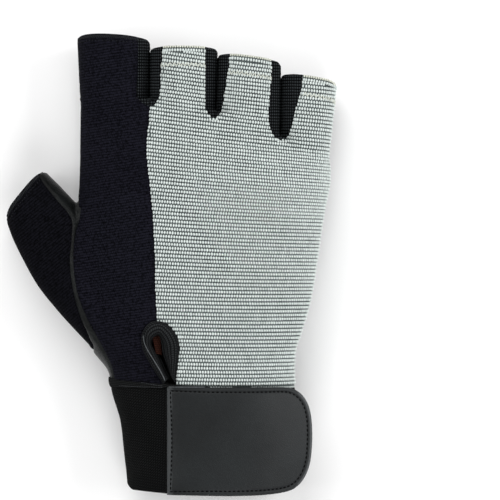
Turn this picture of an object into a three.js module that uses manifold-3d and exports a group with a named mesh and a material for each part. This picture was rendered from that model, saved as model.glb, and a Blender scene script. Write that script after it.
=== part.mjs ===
// A half-finger weightlifting glove for the right hand, lying palm down with its back up.
// Millimetres: +Y runs from the wrist to the fingertips, -X is the thumb's side, +Z is up.
import * as THREE from 'three';
import { mergeVertices } from 'three/addons/utils/BufferGeometryUtils.js';
import Module from 'manifold-3d';

const wasm = await Module();
wasm.setup();

// Driving dimensions
const palmWidth = 98.3;
const handLength = 138;
const gloveDepth = 36;
const shellWall = 1.5;
const seamGap = 0.3;
const hemSlant = 3.5;
const fingerLift = 0.6;
const rootTuck = 4;
const thumbHemBow = 2;
const bandWidth = 39.5;
const bandWall = 1.8;
const slitWidth = 1.6;
const tabLength = 56.4;
const tabWidth = 42.2;
const tabThickness = 2.2;
const tabLap = 0.5;
const padThickness = 2.8;
const ventRise = 0.9;

// Sizes that follow from them
const handStart = bandWidth + seamGap;
const padLift = padThickness + seamGap;
const tabTop = bandWidth + tabLap;
const ventStart = tabTop + seamGap;
const reach = 6;
const farUp = 3 * gloveDepth;

// Roundness of the sections: 2 is an ellipse, more is squarer
const backRoundness = 2.2;
const palmRoundness = 3;
const tubeRoundness = 2.5;
const widestAt = 0.42;
const restingSag = 0.9;
const bodySides = 32;
const tubeSides = 18;

function rows(names, lists) {
  const columns = names.split(' ');
  return lists.map((list) => Object.fromEntries(columns.map((name, i) => [name, list[i]])));
}

// Sections of the hand: y is a share of handLength, left and right of palmWidth,
// lift of padLift and top of gloveDepth.
const handSections = rows('y left right lift top', [
  [0.000, -0.377, 0.352, 0.00, 0.930],
  [0.048, -0.391, 0.349, 0.15, 0.935],
  [0.104, -0.452, 0.353, 0.40, 0.958],
  [0.161, -0.488, 0.379, 0.65, 0.970],
  [0.246, -0.528, 0.413, 0.85, 0.985],
  [0.345, -0.551, 0.436, 1.00, 1.000],
  [0.444, -0.536, 0.456, 1.00, 1.000],
  [0.528, -0.508, 0.476, 1.00, 0.986],
]);

// The last sections bend towards the line of the finger roots by their blend.
const knuckleSections = rows('blend left right top', [
  [0.35, -0.500, 0.488, 0.955],
  [0.65, -0.500, 0.490, 0.875],
  [0.88, -0.500, 0.490, 0.806],
  [1.00, -0.496, 0.486, 0.736],
]);
const fingerRoots = { start: 0.81, slope: 0.096, bow: -0.2685 };

// Sections of the wrist band: y is a share of bandWidth.
const bandSections = rows('y left right top', [
  [0.000, -0.313, 0.350, 0.917],
  [0.385, -0.327, 0.378, 0.925],
  [0.681, -0.341, 0.374, 0.928],
  [1.000, -0.377, 0.352, 0.930],
]);

// Finger stalls: where each starts inside the hand, its sides at the root and the hem, the
// hem's place on either side, its bow as a share of hemSlant, and the height of the back.
const fingers = rows('start left right hemLeft hemRight leftHem rightHem bow rootTop hemTop', [
  [0.58, -0.488, -0.228, -0.516, -0.225, 0.999, 0.988, 0.3, 0.70, 0.735],
  [0.66, -0.218, 0.024, -0.218, 0.044, 0.964, 0.962, 0.0, 0.81, 0.765],
  [0.62, 0.038, 0.286, 0.052, 0.294, 0.947, 0.924, 0.0, 0.79, 0.735],
  [0.50, 0.292, 0.466, 0.302, 0.524, 0.890, 0.867, 0.0, 0.64, 0.665],
]);

// Sections of the thumb: its outer and inner contour in plan, and its top.
const thumbSections = rows('outerX outerY innerX innerY top', [
  [-0.373, 0.059, -0.222, 0.147, 0.76],
  [-0.436, 0.099, -0.282, 0.217, 0.79],
  [-0.520, 0.161, -0.349, 0.288, 0.80],
  [-0.591, 0.217, -0.401, 0.353, 0.79],
  [-0.667, 0.285, -0.444, 0.415, 0.77],
  [-0.726, 0.359, -0.476, 0.469, 0.75],
  [-0.770, 0.424, -0.516, 0.520, 0.72],
  [-0.797, 0.479, -0.643, 0.612, 0.69],
]);

// Height of the seam between back and palm, on the thumb's side and the little finger's side.
const sideSeam = rows('y thumbSide littleSide', [
  [-0.20, 0.417, 0.167],
  [0.30, 0.417, 0.200],
  [0.60, 0.417, 0.300],
  [1.20, 0.417, 0.300],
]);
const thumbSeam = 0.3;

// Lines in plan, as shares of palmWidth and handLength
const middleSeam = rows('x y', [
  [-0.222, 1.100], [-0.222, 0.793], [-0.230, 0.726], [-0.234, 0.670], [-0.230, 0.627],
  [-0.222, 0.579], [-0.214, 0.528], [-0.208, 0.472], [-0.204, 0.415], [-0.200, 0.353],
  [-0.198, 0.274], [-0.194, 0.217], [-0.190, 0.150], [-0.160, 0.020], [-0.155, -0.050],
]);
const sideSeamTop = rows('x y', [[-0.700, 1.100], [-0.700, 0.660], [-0.509, 0.641], [-0.509, 0.511]]);
const thumbLineOnHand = rows('x y', [
  [-0.500, 0.508], [-0.502, 0.486], [-0.508, 0.458], [-0.518, 0.407], [-0.523, 0.364],
  [-0.517, 0.308], [-0.501, 0.251], [-0.464, 0.184], [-0.417, 0.119], [-0.377, 0.056],
  [-0.353, -0.030],
]);
const thumbLineOnThumb = rows('x y', [
  [-0.674, 0.640], [-0.651, 0.591], [-0.619, 0.557], [-0.577, 0.521], [-0.544, 0.494],
  [-0.526, 0.466], [-0.530, 0.415], [-0.538, 0.353], [-0.526, 0.274], [-0.500, 0.198],
  [-0.468, 0.141], [-0.450, 0.110], [-0.475, 0.060],
]);
const fourchettes = {
  fourchette_index_middle: rows('x y', [
    [-0.264, 1.100], [-0.264, 0.966], [-0.266, 0.882], [-0.272, 0.834], [-0.258, 0.807],
    [-0.222, 0.793], [-0.198, 0.802], [-0.188, 0.822], [-0.184, 0.845], [-0.179, 0.910],
    [-0.175, 0.958], [-0.175, 1.100],
  ]),
  fourchette_middle_ring: rows('x y', [
    [0.002, 1.100], [0.002, 0.924], [0.002, 0.839], [0.004, 0.794], [0.014, 0.774],
    [0.030, 0.763], [0.048, 0.770], [0.060, 0.788], [0.069, 0.831], [0.079, 0.873],
    [0.091, 0.918], [0.099, 1.100],
  ]),
  fourchette_ring_little: rows('x y', [
    [0.263, 1.100], [0.263, 0.918], [0.258, 0.839], [0.252, 0.769], [0.258, 0.732],
    [0.276, 0.706], [0.300, 0.698], [0.323, 0.709], [0.337, 0.737], [0.349, 0.774],
    [0.367, 0.817], [0.379, 0.856], [0.400, 1.100],
  ]),
};
const ventOutside = rows('x y', [
  [-0.169, -0.050], [-0.171, 0.008], [-0.198, 0.042], [-0.224, 0.073], [-0.247, 0.104],
  [-0.255, 0.136], [-0.246, 0.162], [-0.222, 0.182], [-0.192, 0.188], [-0.159, 0.182],
  [-0.131, 0.165], [-0.111, 0.141], [-0.103, 0.116], [-0.106, 0.090], [-0.112, 0.059],
  [-0.117, 0.020], [-0.115, -0.050],
]);
const ventOpening = rows('x y', [
  [-0.148, 0.026], [-0.169, 0.053], [-0.190, 0.085], [-0.208, 0.110], [-0.217, 0.130],
  [-0.204, 0.144], [-0.183, 0.150], [-0.165, 0.130], [-0.157, 0.102], [-0.147, 0.065],
  [-0.138, 0.034],
]);
const padOutline = rows('x y', [
  [-0.476, 0.668], [-0.262, 0.672], [0.016, 0.673], [0.254, 0.672], [0.496, 0.670],
  [0.480, 0.528], [0.452, 0.401], [0.425, 0.302], [0.389, 0.203], [0.333, 0.178],
  [0.262, 0.160], [0.143, 0.148], [0.024, 0.167], [-0.095, 0.240], [-0.143, 0.288],
  [-0.175, 0.331], [-0.222, 0.396], [-0.282, 0.449], [-0.361, 0.492], [-0.440, 0.517],
  [-0.476, 0.534],
]);
const padRim = 0.25;

// The tab's outline, as shares of tabLength from its sewn end and of tabWidth
const tabOutline = rows('x y', [
  [0.000, 1.000], [0.750, 1.000], [0.850, 0.990], [0.919, 0.940], [0.967, 0.850],
  [0.992, 0.730], [1.000, 0.580], [0.997, 0.430], [0.985, 0.300], [0.953, 0.180],
  [0.900, 0.088], [0.820, 0.035], [0.660, 0.008], [0.430, 0.000], [0.000, 0.010],
]);
const tabLeft = -0.1527;
const slitAt = -0.122;

// Solids

function solid(geometry) {
  geometry.deleteAttribute('normal');
  geometry.deleteAttribute('uv');
  const merged = mergeVertices(geometry, 1e-5);
  return new wasm.Manifold(new wasm.Mesh({
    numProp: 3,
    vertProperties: new Float32Array(merged.attributes.position.array),
    triVerts: new Uint32Array(merged.index.array),
  }));
}

// Joins closed rings of equal length; point i of a ring lies opposite point count - 1 - i,
// so each end is closed by a row of faces across it.
function loft(rings) {
  const count = rings[0].length;
  const faces = [];
  const quad = (a, b, c, d) => faces.push(a, b, c, a, c, d);
  for (let r = 0; r < rings.length - 1; r++) {
    for (let i = 0; i < count; i++) {
      const next = (i + 1) % count;
      quad(r * count + i, r * count + next, (r + 1) * count + next, (r + 1) * count + i);
    }
  }
  const last = (rings.length - 1) * count;
  for (let i = 0; i < count / 2 - 1; i++) {
    quad(i, count - 1 - i, count - 2 - i, i + 1);
    quad(last + i, last + i + 1, last + count - 2 - i, last + count - 1 - i);
  }
  const points = rings.flat();
  if (signedVolume(points, faces) < 0) {
    faces.reverse();
  }
  const geometry = new THREE.BufferGeometry().setFromPoints(points);
  geometry.setIndex(faces);
  return solid(geometry);
}

function signedVolume(points, faces) {
  let total = 0;
  for (let i = 0; i < faces.length; i += 3) {
    const across = new THREE.Vector3().crossVectors(points[faces[i + 1]], points[faces[i + 2]]);
    total += points[faces[i]].dot(across) / 6;
  }
  return total;
}

function prism(outline, low, high) {
  const geometry = new THREE.ExtrudeGeometry(new THREE.Shape(outline), {
    depth: high - low,
    bevelEnabled: false,
  });
  return solid(geometry.translate(0, 0, low));
}

// A thin upright wall along a line
function wallAlong(line, width) {
  const sides = [[], []];
  line.forEach((point, i) => {
    const before = line[Math.max(i - 1, 0)];
    const after = line[Math.min(i + 1, line.length - 1)];
    const along = after.clone().sub(before).normalize();
    const across = new THREE.Vector2(-along.y, along.x).multiplyScalar(width / 2);
    sides[0].push(point.clone().add(across));
    sides[1].unshift(point.clone().sub(across));
  });
  return prism([...sides[0], ...sides[1]], -gloveDepth, farUp);
}

function largestPiece(shape) {
  const pieces = shape.decompose();
  return pieces.reduce((best, piece) => (piece.volume() > best.volume() ? piece : best));
}

// Plan positions

const onHand = (row) => new THREE.Vector2(row.x * palmWidth, handStart + row.y * handLength);

function smoothLine(table, steps = 2) {
  const points = table.map(onHand);
  return new THREE.SplineCurve(points).getPoints(steps * (points.length - 1));
}

// Sections

// Points round a section, from the right over the back to the left and under to the right.
// Each has its share across the section and its height.
function sectionPoints(size, sides, inset) {
  const middle = (size.left + size.right) / 2;
  const half = (size.right - size.left) / 2 - inset;
  const waist = size.low + (size.top - size.low) * widestAt;
  const points = [];
  for (let i = 0; i < sides; i++) {
    const angle = ((i + 0.5) * 2 * Math.PI) / sides;
    const over = Math.sin(angle) > 0;
    const power = 2 / (over ? size.backPower : size.palmPower);
    const across = Math.sign(Math.cos(angle)) * Math.abs(Math.cos(angle)) ** power;
    const depth = over ? size.top - waist - inset : waist - size.low + size.sag - inset;
    const height = waist + Math.sign(Math.sin(angle)) * depth * Math.abs(Math.sin(angle)) ** power;
    points.push({ x: middle + across * half, z: Math.max(height, size.low + inset, 0) });
  }
  return points;
}

function bodySection(row, low, inset) {
  return sectionPoints({
    left: row.left * palmWidth,
    right: row.right * palmWidth,
    low,
    top: row.top * gloveDepth,
    sag: restingSag,
    backPower: backRoundness,
    palmPower: palmRoundness,
  }, bodySides, inset);
}

function rootLine(x) {
  const first = knuckleSections[0];
  const share = (x / palmWidth - first.left) / (first.right - first.left);
  const y = fingerRoots.start + fingerRoots.slope * share + fingerRoots.bow * share * share;
  return handStart + y * handLength;
}

// The hand without its fingers and thumb, drawn in by an inset or swollen by a negative one.
// run is how far it goes on past the wrist.
function handForm(inset, run) {
  const rings = handSections.map((row, i) => {
    const y = handStart + row.y * handLength - (i === 0 ? run : 0);
    return bodySection(row, row.lift * padLift, inset)
      .map((point) => new THREE.Vector3(point.x, y, point.z));
  });
  const lastStraight = handStart + handSections.at(-1).y * handLength;
  for (const row of knuckleSections) {
    rings.push(bodySection(row, padLift, inset).map((point) => {
      const end = rootLine(point.x) - inset;
      return new THREE.Vector3(point.x, lastStraight + row.blend * (end - lastStraight), point.z);
    }));
  }
  return loft(rings);
}

function fingerTube(finger, inset, run) {
  const start = handStart + finger.start * handLength;
  const rings = [0, 0.35, 0.7, 1 + run].map((share) => {
    const left = THREE.MathUtils.lerp(finger.left, finger.hemLeft, share) * palmWidth;
    const right = THREE.MathUtils.lerp(finger.right, finger.hemRight, share) * palmWidth;
    const low = padLift + fingerLift + rootTuck * Math.max(0, 1 - share / 0.35);
    const top = THREE.MathUtils.lerp(finger.rootTop, finger.hemTop, share) * gloveDepth;
    const power = tubeRoundness;
    const size = { left, right, low, top, sag: 0, backPower: power, palmPower: power };
    return sectionPoints(size, tubeSides, inset).map((point) => {
      const across = (point.x - left) / (right - left);
      const hem = THREE.MathUtils.lerp(finger.leftHem, finger.rightHem, across) * handLength;
      const bow = finger.bow * (1 - (2 * across - 1) ** 2);
      const shorter = hemSlant * (1 - (point.z - low) / (top - low) - bow);
      const y = start + share * (handStart + hem - shorter - start);
      return new THREE.Vector3(point.x, y, point.z);
    });
  });
  return loft(rings);
}

function thumbTube(inset, run) {
  const rings = thumbSections.map((row, i) => {
    const outer = onHand({ x: row.outerX, y: row.outerY });
    const inner = onHand({ x: row.innerX, y: row.innerY });
    const across = inner.clone().sub(outer);
    const ahead = new THREE.Vector2(-across.y, across.x).normalize();
    const last = i === thumbSections.length - 1;
    const width = across.length();
    const power = tubeRoundness;
    const size = {
      left: 0,
      right: width,
      low: padLift,
      top: row.top * gloveDepth,
      sag: 0,
      backPower: power,
      palmPower: power,
    };
    across.normalize();
    return sectionPoints(size, tubeSides, inset).map((point) => {
      const bow = thumbHemBow * (1 - ((2 * point.x) / width - 1) ** 2);
      const past = last ? bow + run : 0;
      const plan = outer.clone().addScaledVector(across, point.x).addScaledVector(ahead, past);
      return new THREE.Vector3(plan.x, plan.y, point.z);
    });
  });
  return loft(rings);
}

// Everything above the seam between back and palm
function aboveSideSeam(offset) {
  const sides = [-2 * palmWidth, -0.2 * palmWidth, 0.2 * palmWidth, 2 * palmWidth];
  return loft(sideSeam.map((row) => {
    const y = handStart + row.y * handLength;
    const height = (x) => (x < 0 ? row.thumbSide : row.littleSide) * gloveDepth + offset;
    const low = sides.map((x) => new THREE.Vector3(x, y, height(x)));
    const high = sides.map((x) => new THREE.Vector3(x, y, farUp));
    return [...low, ...high.reverse()];
  }));
}

// Pieces of the hand, cut from one hollow shell along its seams

function cutHand() {
  const tubes = (inset, run) => fingers.map((finger) => fingerTube(finger, inset, run));
  const outside = [thumbTube(0, 0), ...tubes(0, 0)]
    .reduce((form, tube) => form.add(tube), handForm(0, 0));
  const inside = [thumbTube(shellWall, reach), ...tubes(shellWall, 0.12)]
    .reduce((form, tube) => form.add(tube), handForm(shellWall, reach));
  const shell = outside.subtract(inside);

  const backSide = aboveSideSeam(seamGap / 2);
  const backSideAndGap = aboveSideSeam(-seamGap / 2);
  const far = 2 * palmWidth;
  const corner = (x, y) => new THREE.Vector2(x, y);
  const middleLine = smoothLine(middleSeam);
  const sideLine = [...sideSeamTop.map(onHand), ...smoothLine(thumbLineOnHand)];
  const thumbLine = smoothLine(thumbLineOnThumb);
  const farEnds = [corner(far, middleLine.at(-1).y), corner(far, middleLine[0].y)];
  const backPlan = prism([...middleLine, ...farEnds], 0, farUp);
  const sidePlan = prism([...middleLine, ...[...sideLine].reverse()], 0, farUp);
  const thumbEnds = [corner(-far, thumbLine.at(-1).y), corner(-far, thumbLine[0].y)];
  const thumbPlan = prism([...thumbLine, ...thumbEnds], thumbSeam * gloveDepth, farUp);
  const thumbPlanAndGap = thumbPlan.translate([0, 0, -seamGap]);
  const middleWall = wallAlong(middleLine, seamGap);
  const sideWall = wallAlong(sideLine, seamGap);
  const thumbWall = wallAlong(thumbLine, seamGap).intersect(
    prism([corner(-far, 0), corner(far, 0), corner(far, far), corner(-far, far)],
      thumbSeam * gloveDepth - seamGap, farUp));

  const pieces = {};
  let rest = shell;
  for (const [name, table] of Object.entries(fourchettes)) {
    const line = smoothLine(table);
    pieces[name] = rest.intersect(prism(line, -gloveDepth, farUp)).subtract(wallAlong(line, seamGap));
    rest = rest.subtract(prism(line, -gloveDepth, farUp)).subtract(wallAlong(line, seamGap));
  }
  const ventLine = smoothLine(ventOutside);
  const vent = prism(ventLine, 0, farUp).add(wallAlong(ventLine, seamGap));
  const cloth = rest.subtract(vent.intersect(backSideAndGap));
  const sewnWalls = middleWall.add(sideWall).add(thumbWall);
  pieces.back_panel = cloth.intersect(backPlan).intersect(backSide).subtract(sewnWalls);
  pieces.side_panel = cloth.intersect(sidePlan).intersect(backSide).subtract(sewnWalls);
  pieces.thumb_back = cloth.intersect(thumbPlan).subtract(sewnWalls);
  pieces.palm_leather = cloth
    .subtract(backPlan.add(sidePlan).add(middleWall).add(sideWall).intersect(backSideAndGap))
    .subtract(thumbPlanAndGap.add(thumbPlan).add(thumbWall));
  pieces.vent_binding = ventBinding(outside, inside);
  return pieces;
}

function ventBinding() {
  const outside = handForm(-ventRise, 0);
  const inside = handForm(shellWall, reach);
  const outer = smoothLine(ventOutside);
  const upperHalf = gloveDepth / 2;
  const ring = prism(outer, upperHalf, farUp).subtract(wallAlong(outer, seamGap))
    .subtract(prism(smoothLine(ventOpening), upperHalf, farUp));
  const corner = (x, y) => new THREE.Vector2(x, y);
  const clear = prism([
    corner(-palmWidth, 0), corner(palmWidth, 0),
    corner(palmWidth, ventStart), corner(-palmWidth, ventStart),
  ], 0, farUp);
  return outside.subtract(inside).intersect(ring).subtract(clear);
}

function palmPad() {
  const grown = [thumbTube(-seamGap, 0), ...fingers.map((finger) => fingerTube(finger, -seamGap, 0))]
    .reduce((form, tube) => form.add(tube), handForm(-seamGap, 0));
  const layer = handForm(-padLift, 0).subtract(grown);
  const plan = padOutline.map(onHand);
  const resting = prism(plan, 0, padRim * gloveDepth);
  return layer.intersect(resting);
}

// Wrist

function bandForm(inset, run) {
  return loft(bandSections.map((row, i) => {
    const ends = { 0: -run, [bandSections.length - 1]: run };
    const y = row.y * bandWidth + (ends[i] ?? 0);
    return bodySection(row, 0, inset).map((point) => new THREE.Vector3(point.x, y, point.z));
  }));
}

function wristBand() {
  const left = slitAt * palmWidth - slitWidth / 2;
  const slit = prism([
    new THREE.Vector2(left, -reach), new THREE.Vector2(left + slitWidth, -reach),
    new THREE.Vector2(left + slitWidth, handStart + reach), new THREE.Vector2(left, handStart + reach),
  ], gloveDepth / 2, farUp);
  return bandForm(0, 0).subtract(bandForm(bandWall, reach)).subtract(slit);
}

// Height of the band's back at a point, which runs on straight where the back turns down.
function backHeight(x, y) {
  const share = THREE.MathUtils.clamp(y / bandWidth, 0, 1);
  const upper = Math.max(1, bandSections.findIndex((row) => row.y >= share));
  const [before, after] = [bandSections[upper - 1], bandSections[upper]];
  const mix = (share - before.y) / (after.y - before.y);
  const size = (name) => THREE.MathUtils.lerp(before[name], after[name], mix);
  const half = ((size('right') - size('left')) / 2) * palmWidth;
  const middle = ((size('right') + size('left')) / 2) * palmWidth;
  const top = size('top') * gloveDepth;
  const rise = top * (1 - widestAt);
  const across = (x - middle) / half;
  const turn = 0.72;
  const bent = Math.min(Math.abs(across), turn);
  const inside = 1 - bent ** backRoundness;
  const height = top - rise + rise * inside ** (1 / backRoundness);
  const slope = (rise / half) * bent ** (backRoundness - 1) * inside ** (1 / backRoundness - 1);
  const beyond = (Math.abs(across) - bent) * half;
  return { height: height - slope * beyond, slope };
}

function closureTab() {
  const left = tabLeft * palmWidth;
  const columns = 18;
  const lines = 6;
  const rings = [];
  for (let j = 0; j <= lines; j++) {
    const y = tabTop - tabWidth - 1 + ((tabWidth + 2) * j) / lines;
    const low = [];
    const high = [];
    for (let i = 0; i <= columns; i++) {
      const x = left - 1 + ((tabLength + 2) * i) / columns;
      const { height, slope } = backHeight(x, y);
      const stretch = Math.hypot(1, slope);
      low.push(new THREE.Vector3(x, y, height + seamGap * stretch));
      high.unshift(new THREE.Vector3(x, y, height + (seamGap + tabThickness) * stretch));
    }
    rings.push([...low, ...high]);
  }
  const outline = tabOutline.map((row) => new THREE.Vector2(
    left + row.x * tabLength,
    tabTop - tabWidth + row.y * tabWidth,
  ));
  return loft(rings).intersect(prism(outline, -gloveDepth, farUp));
}

// Finishes
const finishes = {
  grey_knit: { color: 0xa1aaa8, roughness: 0.85 },
  black_cloth: { color: 0x17171d, roughness: 0.9 },
  black_rib: { color: 0x141419, roughness: 0.9 },
  black_leather: { color: 0x202222, roughness: 0.55 },
  padded_leather: { color: 0x2d3132, roughness: 0.5 },
  knitted_binding: { color: 0x141416, roughness: 0.9 },
  elastic: { color: 0x131414, roughness: 0.85 },
  tab_leather: { color: 0x373a3b, roughness: 0.5 },
};
const finishOf = {
  back_panel: 'grey_knit',
  side_panel: 'black_cloth',
  thumb_back: 'black_cloth',
  palm_leather: 'black_leather',
  palm_pad: 'padded_leather',
  fourchette_index_middle: 'black_rib',
  fourchette_middle_ring: 'black_rib',
  fourchette_ring_little: 'black_rib',
  vent_binding: 'knitted_binding',
  wrist_band: 'elastic',
  closure_tab: 'tab_leather',
};

function meshOf(name, shape) {
  const { vertProperties, triVerts } = largestPiece(shape).getMesh();
  const geometry = new THREE.BufferGeometry();
  geometry.setAttribute('position', new THREE.BufferAttribute(vertProperties, 3));
  geometry.setIndex(new THREE.BufferAttribute(triVerts, 1));
  geometry.computeVertexNormals();
  const material = new THREE.MeshStandardMaterial({ ...finishes[finishOf[name]], metalness: 0 });
  const mesh = new THREE.Mesh(geometry, material);
  mesh.name = name;
  return mesh;
}

const pieces = {
  ...cutHand(),
  palm_pad: palmPad(),
  wrist_band: wristBand(),
  closure_tab: closureTab(),
};

// The glove stands on z = 0 with the middle of its box over the origin.
const glove = new THREE.Group();
for (const [name, shape] of Object.entries(pieces)) {
  glove.add(meshOf(name, shape));
}
const box = new THREE.Box3().setFromObject(glove);
const middle = box.getCenter(new THREE.Vector3());
glove.position.set(-middle.x, -middle.y, -box.min.z);

export default glove;
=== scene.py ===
# A half-finger lifting glove for the right hand, lying palm down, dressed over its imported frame.
import math
import bpy
import numpy as np
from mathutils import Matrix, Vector, noise
from mathutils.bvhtree import BVHTree
from mathutils.kdtree import KDTree


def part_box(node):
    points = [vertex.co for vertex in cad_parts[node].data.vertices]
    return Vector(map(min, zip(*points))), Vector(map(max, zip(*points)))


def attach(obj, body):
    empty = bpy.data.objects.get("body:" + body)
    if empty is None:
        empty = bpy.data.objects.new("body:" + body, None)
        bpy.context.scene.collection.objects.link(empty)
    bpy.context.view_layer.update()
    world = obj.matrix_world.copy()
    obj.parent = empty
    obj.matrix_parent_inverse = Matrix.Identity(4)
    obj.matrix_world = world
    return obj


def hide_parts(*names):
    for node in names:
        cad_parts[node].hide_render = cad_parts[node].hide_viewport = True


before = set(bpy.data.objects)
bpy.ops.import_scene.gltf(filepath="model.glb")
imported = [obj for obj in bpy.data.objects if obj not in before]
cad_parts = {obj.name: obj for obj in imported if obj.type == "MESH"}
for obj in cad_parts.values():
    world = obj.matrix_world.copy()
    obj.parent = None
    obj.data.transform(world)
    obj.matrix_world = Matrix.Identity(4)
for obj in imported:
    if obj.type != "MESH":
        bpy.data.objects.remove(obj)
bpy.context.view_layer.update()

mm = 0.001

# The hand's own sizes, and where the frame puts it
hand = {
    "palmWidth": 98.3 * mm,
    "length": 138 * mm,
    "depth": 36 * mm,
    "padLift": 3.1 * mm,
    "hemSlant": 3.5 * mm,
    "fingerLift": 0.6 * mm,
    "fingerSlim": 0.3 * mm,
    "rootTuck": 4 * mm,
    "tuckReach": 0.35,
    "thumbHemBow": 1.4 * mm,
    "bandWidth": 39.5 * mm,
    "bandGap": 0.3 * mm,
    "tabLength": 56.4 * mm,
    "tabWidth": 42.2 * mm,
    "tabTop": 40.0 * mm,
    "tabLeft": -0.1527,
    "slit": -0.122,
    "voxel": 0.6 * mm,
}
# The shape of its sections: the height share of their widest place, how far they sag where they
# rest, the powers of their curves above and below, and the curve of the finger roots over the palm
sectionForm = {
    "waist": 0.42,
    "sag": 0.9 * mm,
    "handPowers": (2.2, 3),
    "fingerPowers": (2.5, 2.5),
    "rootsWide": 0.988,
    "rootsCurve": (0.81, 0.096, -0.2685),
}
# Faces round each form and along it
formGrid = {"hand": (150, 150), "thumb": (90, 90), "finger": (80, 60)}
# How far each form runs on past the cut at its open end
runOn = {"wrist": 6 * mm, "finger": 9 * mm, "thumb": 14 * mm, "thumbRows": 0.7}
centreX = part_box("closure_tab")[0][0] - hand["tabLeft"] * hand["palmWidth"]
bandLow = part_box("wrist_band")[0][1]
handStart = bandLow + hand["bandWidth"] + hand["bandGap"]


def onHand(x, y):
    return centreX + np.asarray(x) * hand["palmWidth"], handStart + np.asarray(y) * hand["length"]


# Sections of the hand from the wrist to the finger roots: y is a share of its length, bend the
# share by which a section follows the line of the finger roots, left and right shares of the
# palm's width, lift a share of the pad's height and top a share of the depth.
handSections = {
    "y": [0, 0.048, 0.104, 0.161, 0.246, 0.345, 0.444, 0.528, 0.528, 0.528, 0.528, 0.528],
    "bend": [0, 0, 0, 0, 0, 0, 0, 0, 0.35, 0.65, 0.88, 1],
    "left": [-0.377, -0.391, -0.452, -0.488, -0.528, -0.551, -0.536, -0.508, -0.5, -0.5, -0.5, -0.496],
    "right": [0.352, 0.349, 0.353, 0.379, 0.413, 0.436, 0.456, 0.476, 0.488, 0.49, 0.49, 0.486],
    "lift": [0, 0.15, 0.4, 0.65, 0.85, 1, 1, 1, 1, 1, 1, 1],
    "top": [0.93, 0.935, 0.958, 0.97, 0.985, 1, 1, 0.986, 0.955, 0.875, 0.806, 0.736],
}
fingers = {
    "index": {"start": 0.58, "root": (-0.488, -0.228), "hem": (-0.516, -0.225), "ends": (0.999, 0.988),
              "bow": 0.1, "tops": (0.70, 0.735)},
    "middle": {"start": 0.66, "root": (-0.218, 0.024), "hem": (-0.218, 0.044), "ends": (0.964, 0.962),
               "bow": 0.0, "tops": (0.81, 0.765)},
    "ring": {"start": 0.62, "root": (0.038, 0.286), "hem": (0.052, 0.294), "ends": (0.947, 0.924),
             "bow": 0.0, "tops": (0.79, 0.735)},
    "little": {"start": 0.50, "root": (0.292, 0.466), "hem": (0.302, 0.524), "ends": (0.890, 0.867),
               "bow": 0.0, "tops": (0.64, 0.665)},
}
thumbSections = {
    "outerX": [-0.373, -0.436, -0.520, -0.591, -0.667, -0.726, -0.770, -0.797],
    "outerY": [0.059, 0.099, 0.161, 0.217, 0.285, 0.359, 0.424, 0.479],
    "innerX": [-0.222, -0.282, -0.349, -0.401, -0.444, -0.476, -0.516, -0.643],
    "innerY": [0.147, 0.217, 0.288, 0.353, 0.415, 0.469, 0.520, 0.612],
    "top": [0.76, 0.79, 0.80, 0.79, 0.77, 0.75, 0.72, 0.69],
}
bandSections = {
    "y": [0, 0.385, 0.681, 1],
    "left": [-0.313, -0.327, -0.341, -0.377],
    "right": [0.350, 0.378, 0.374, 0.352],
    "top": [0.917, 0.925, 0.928, 0.930],
}
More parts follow.
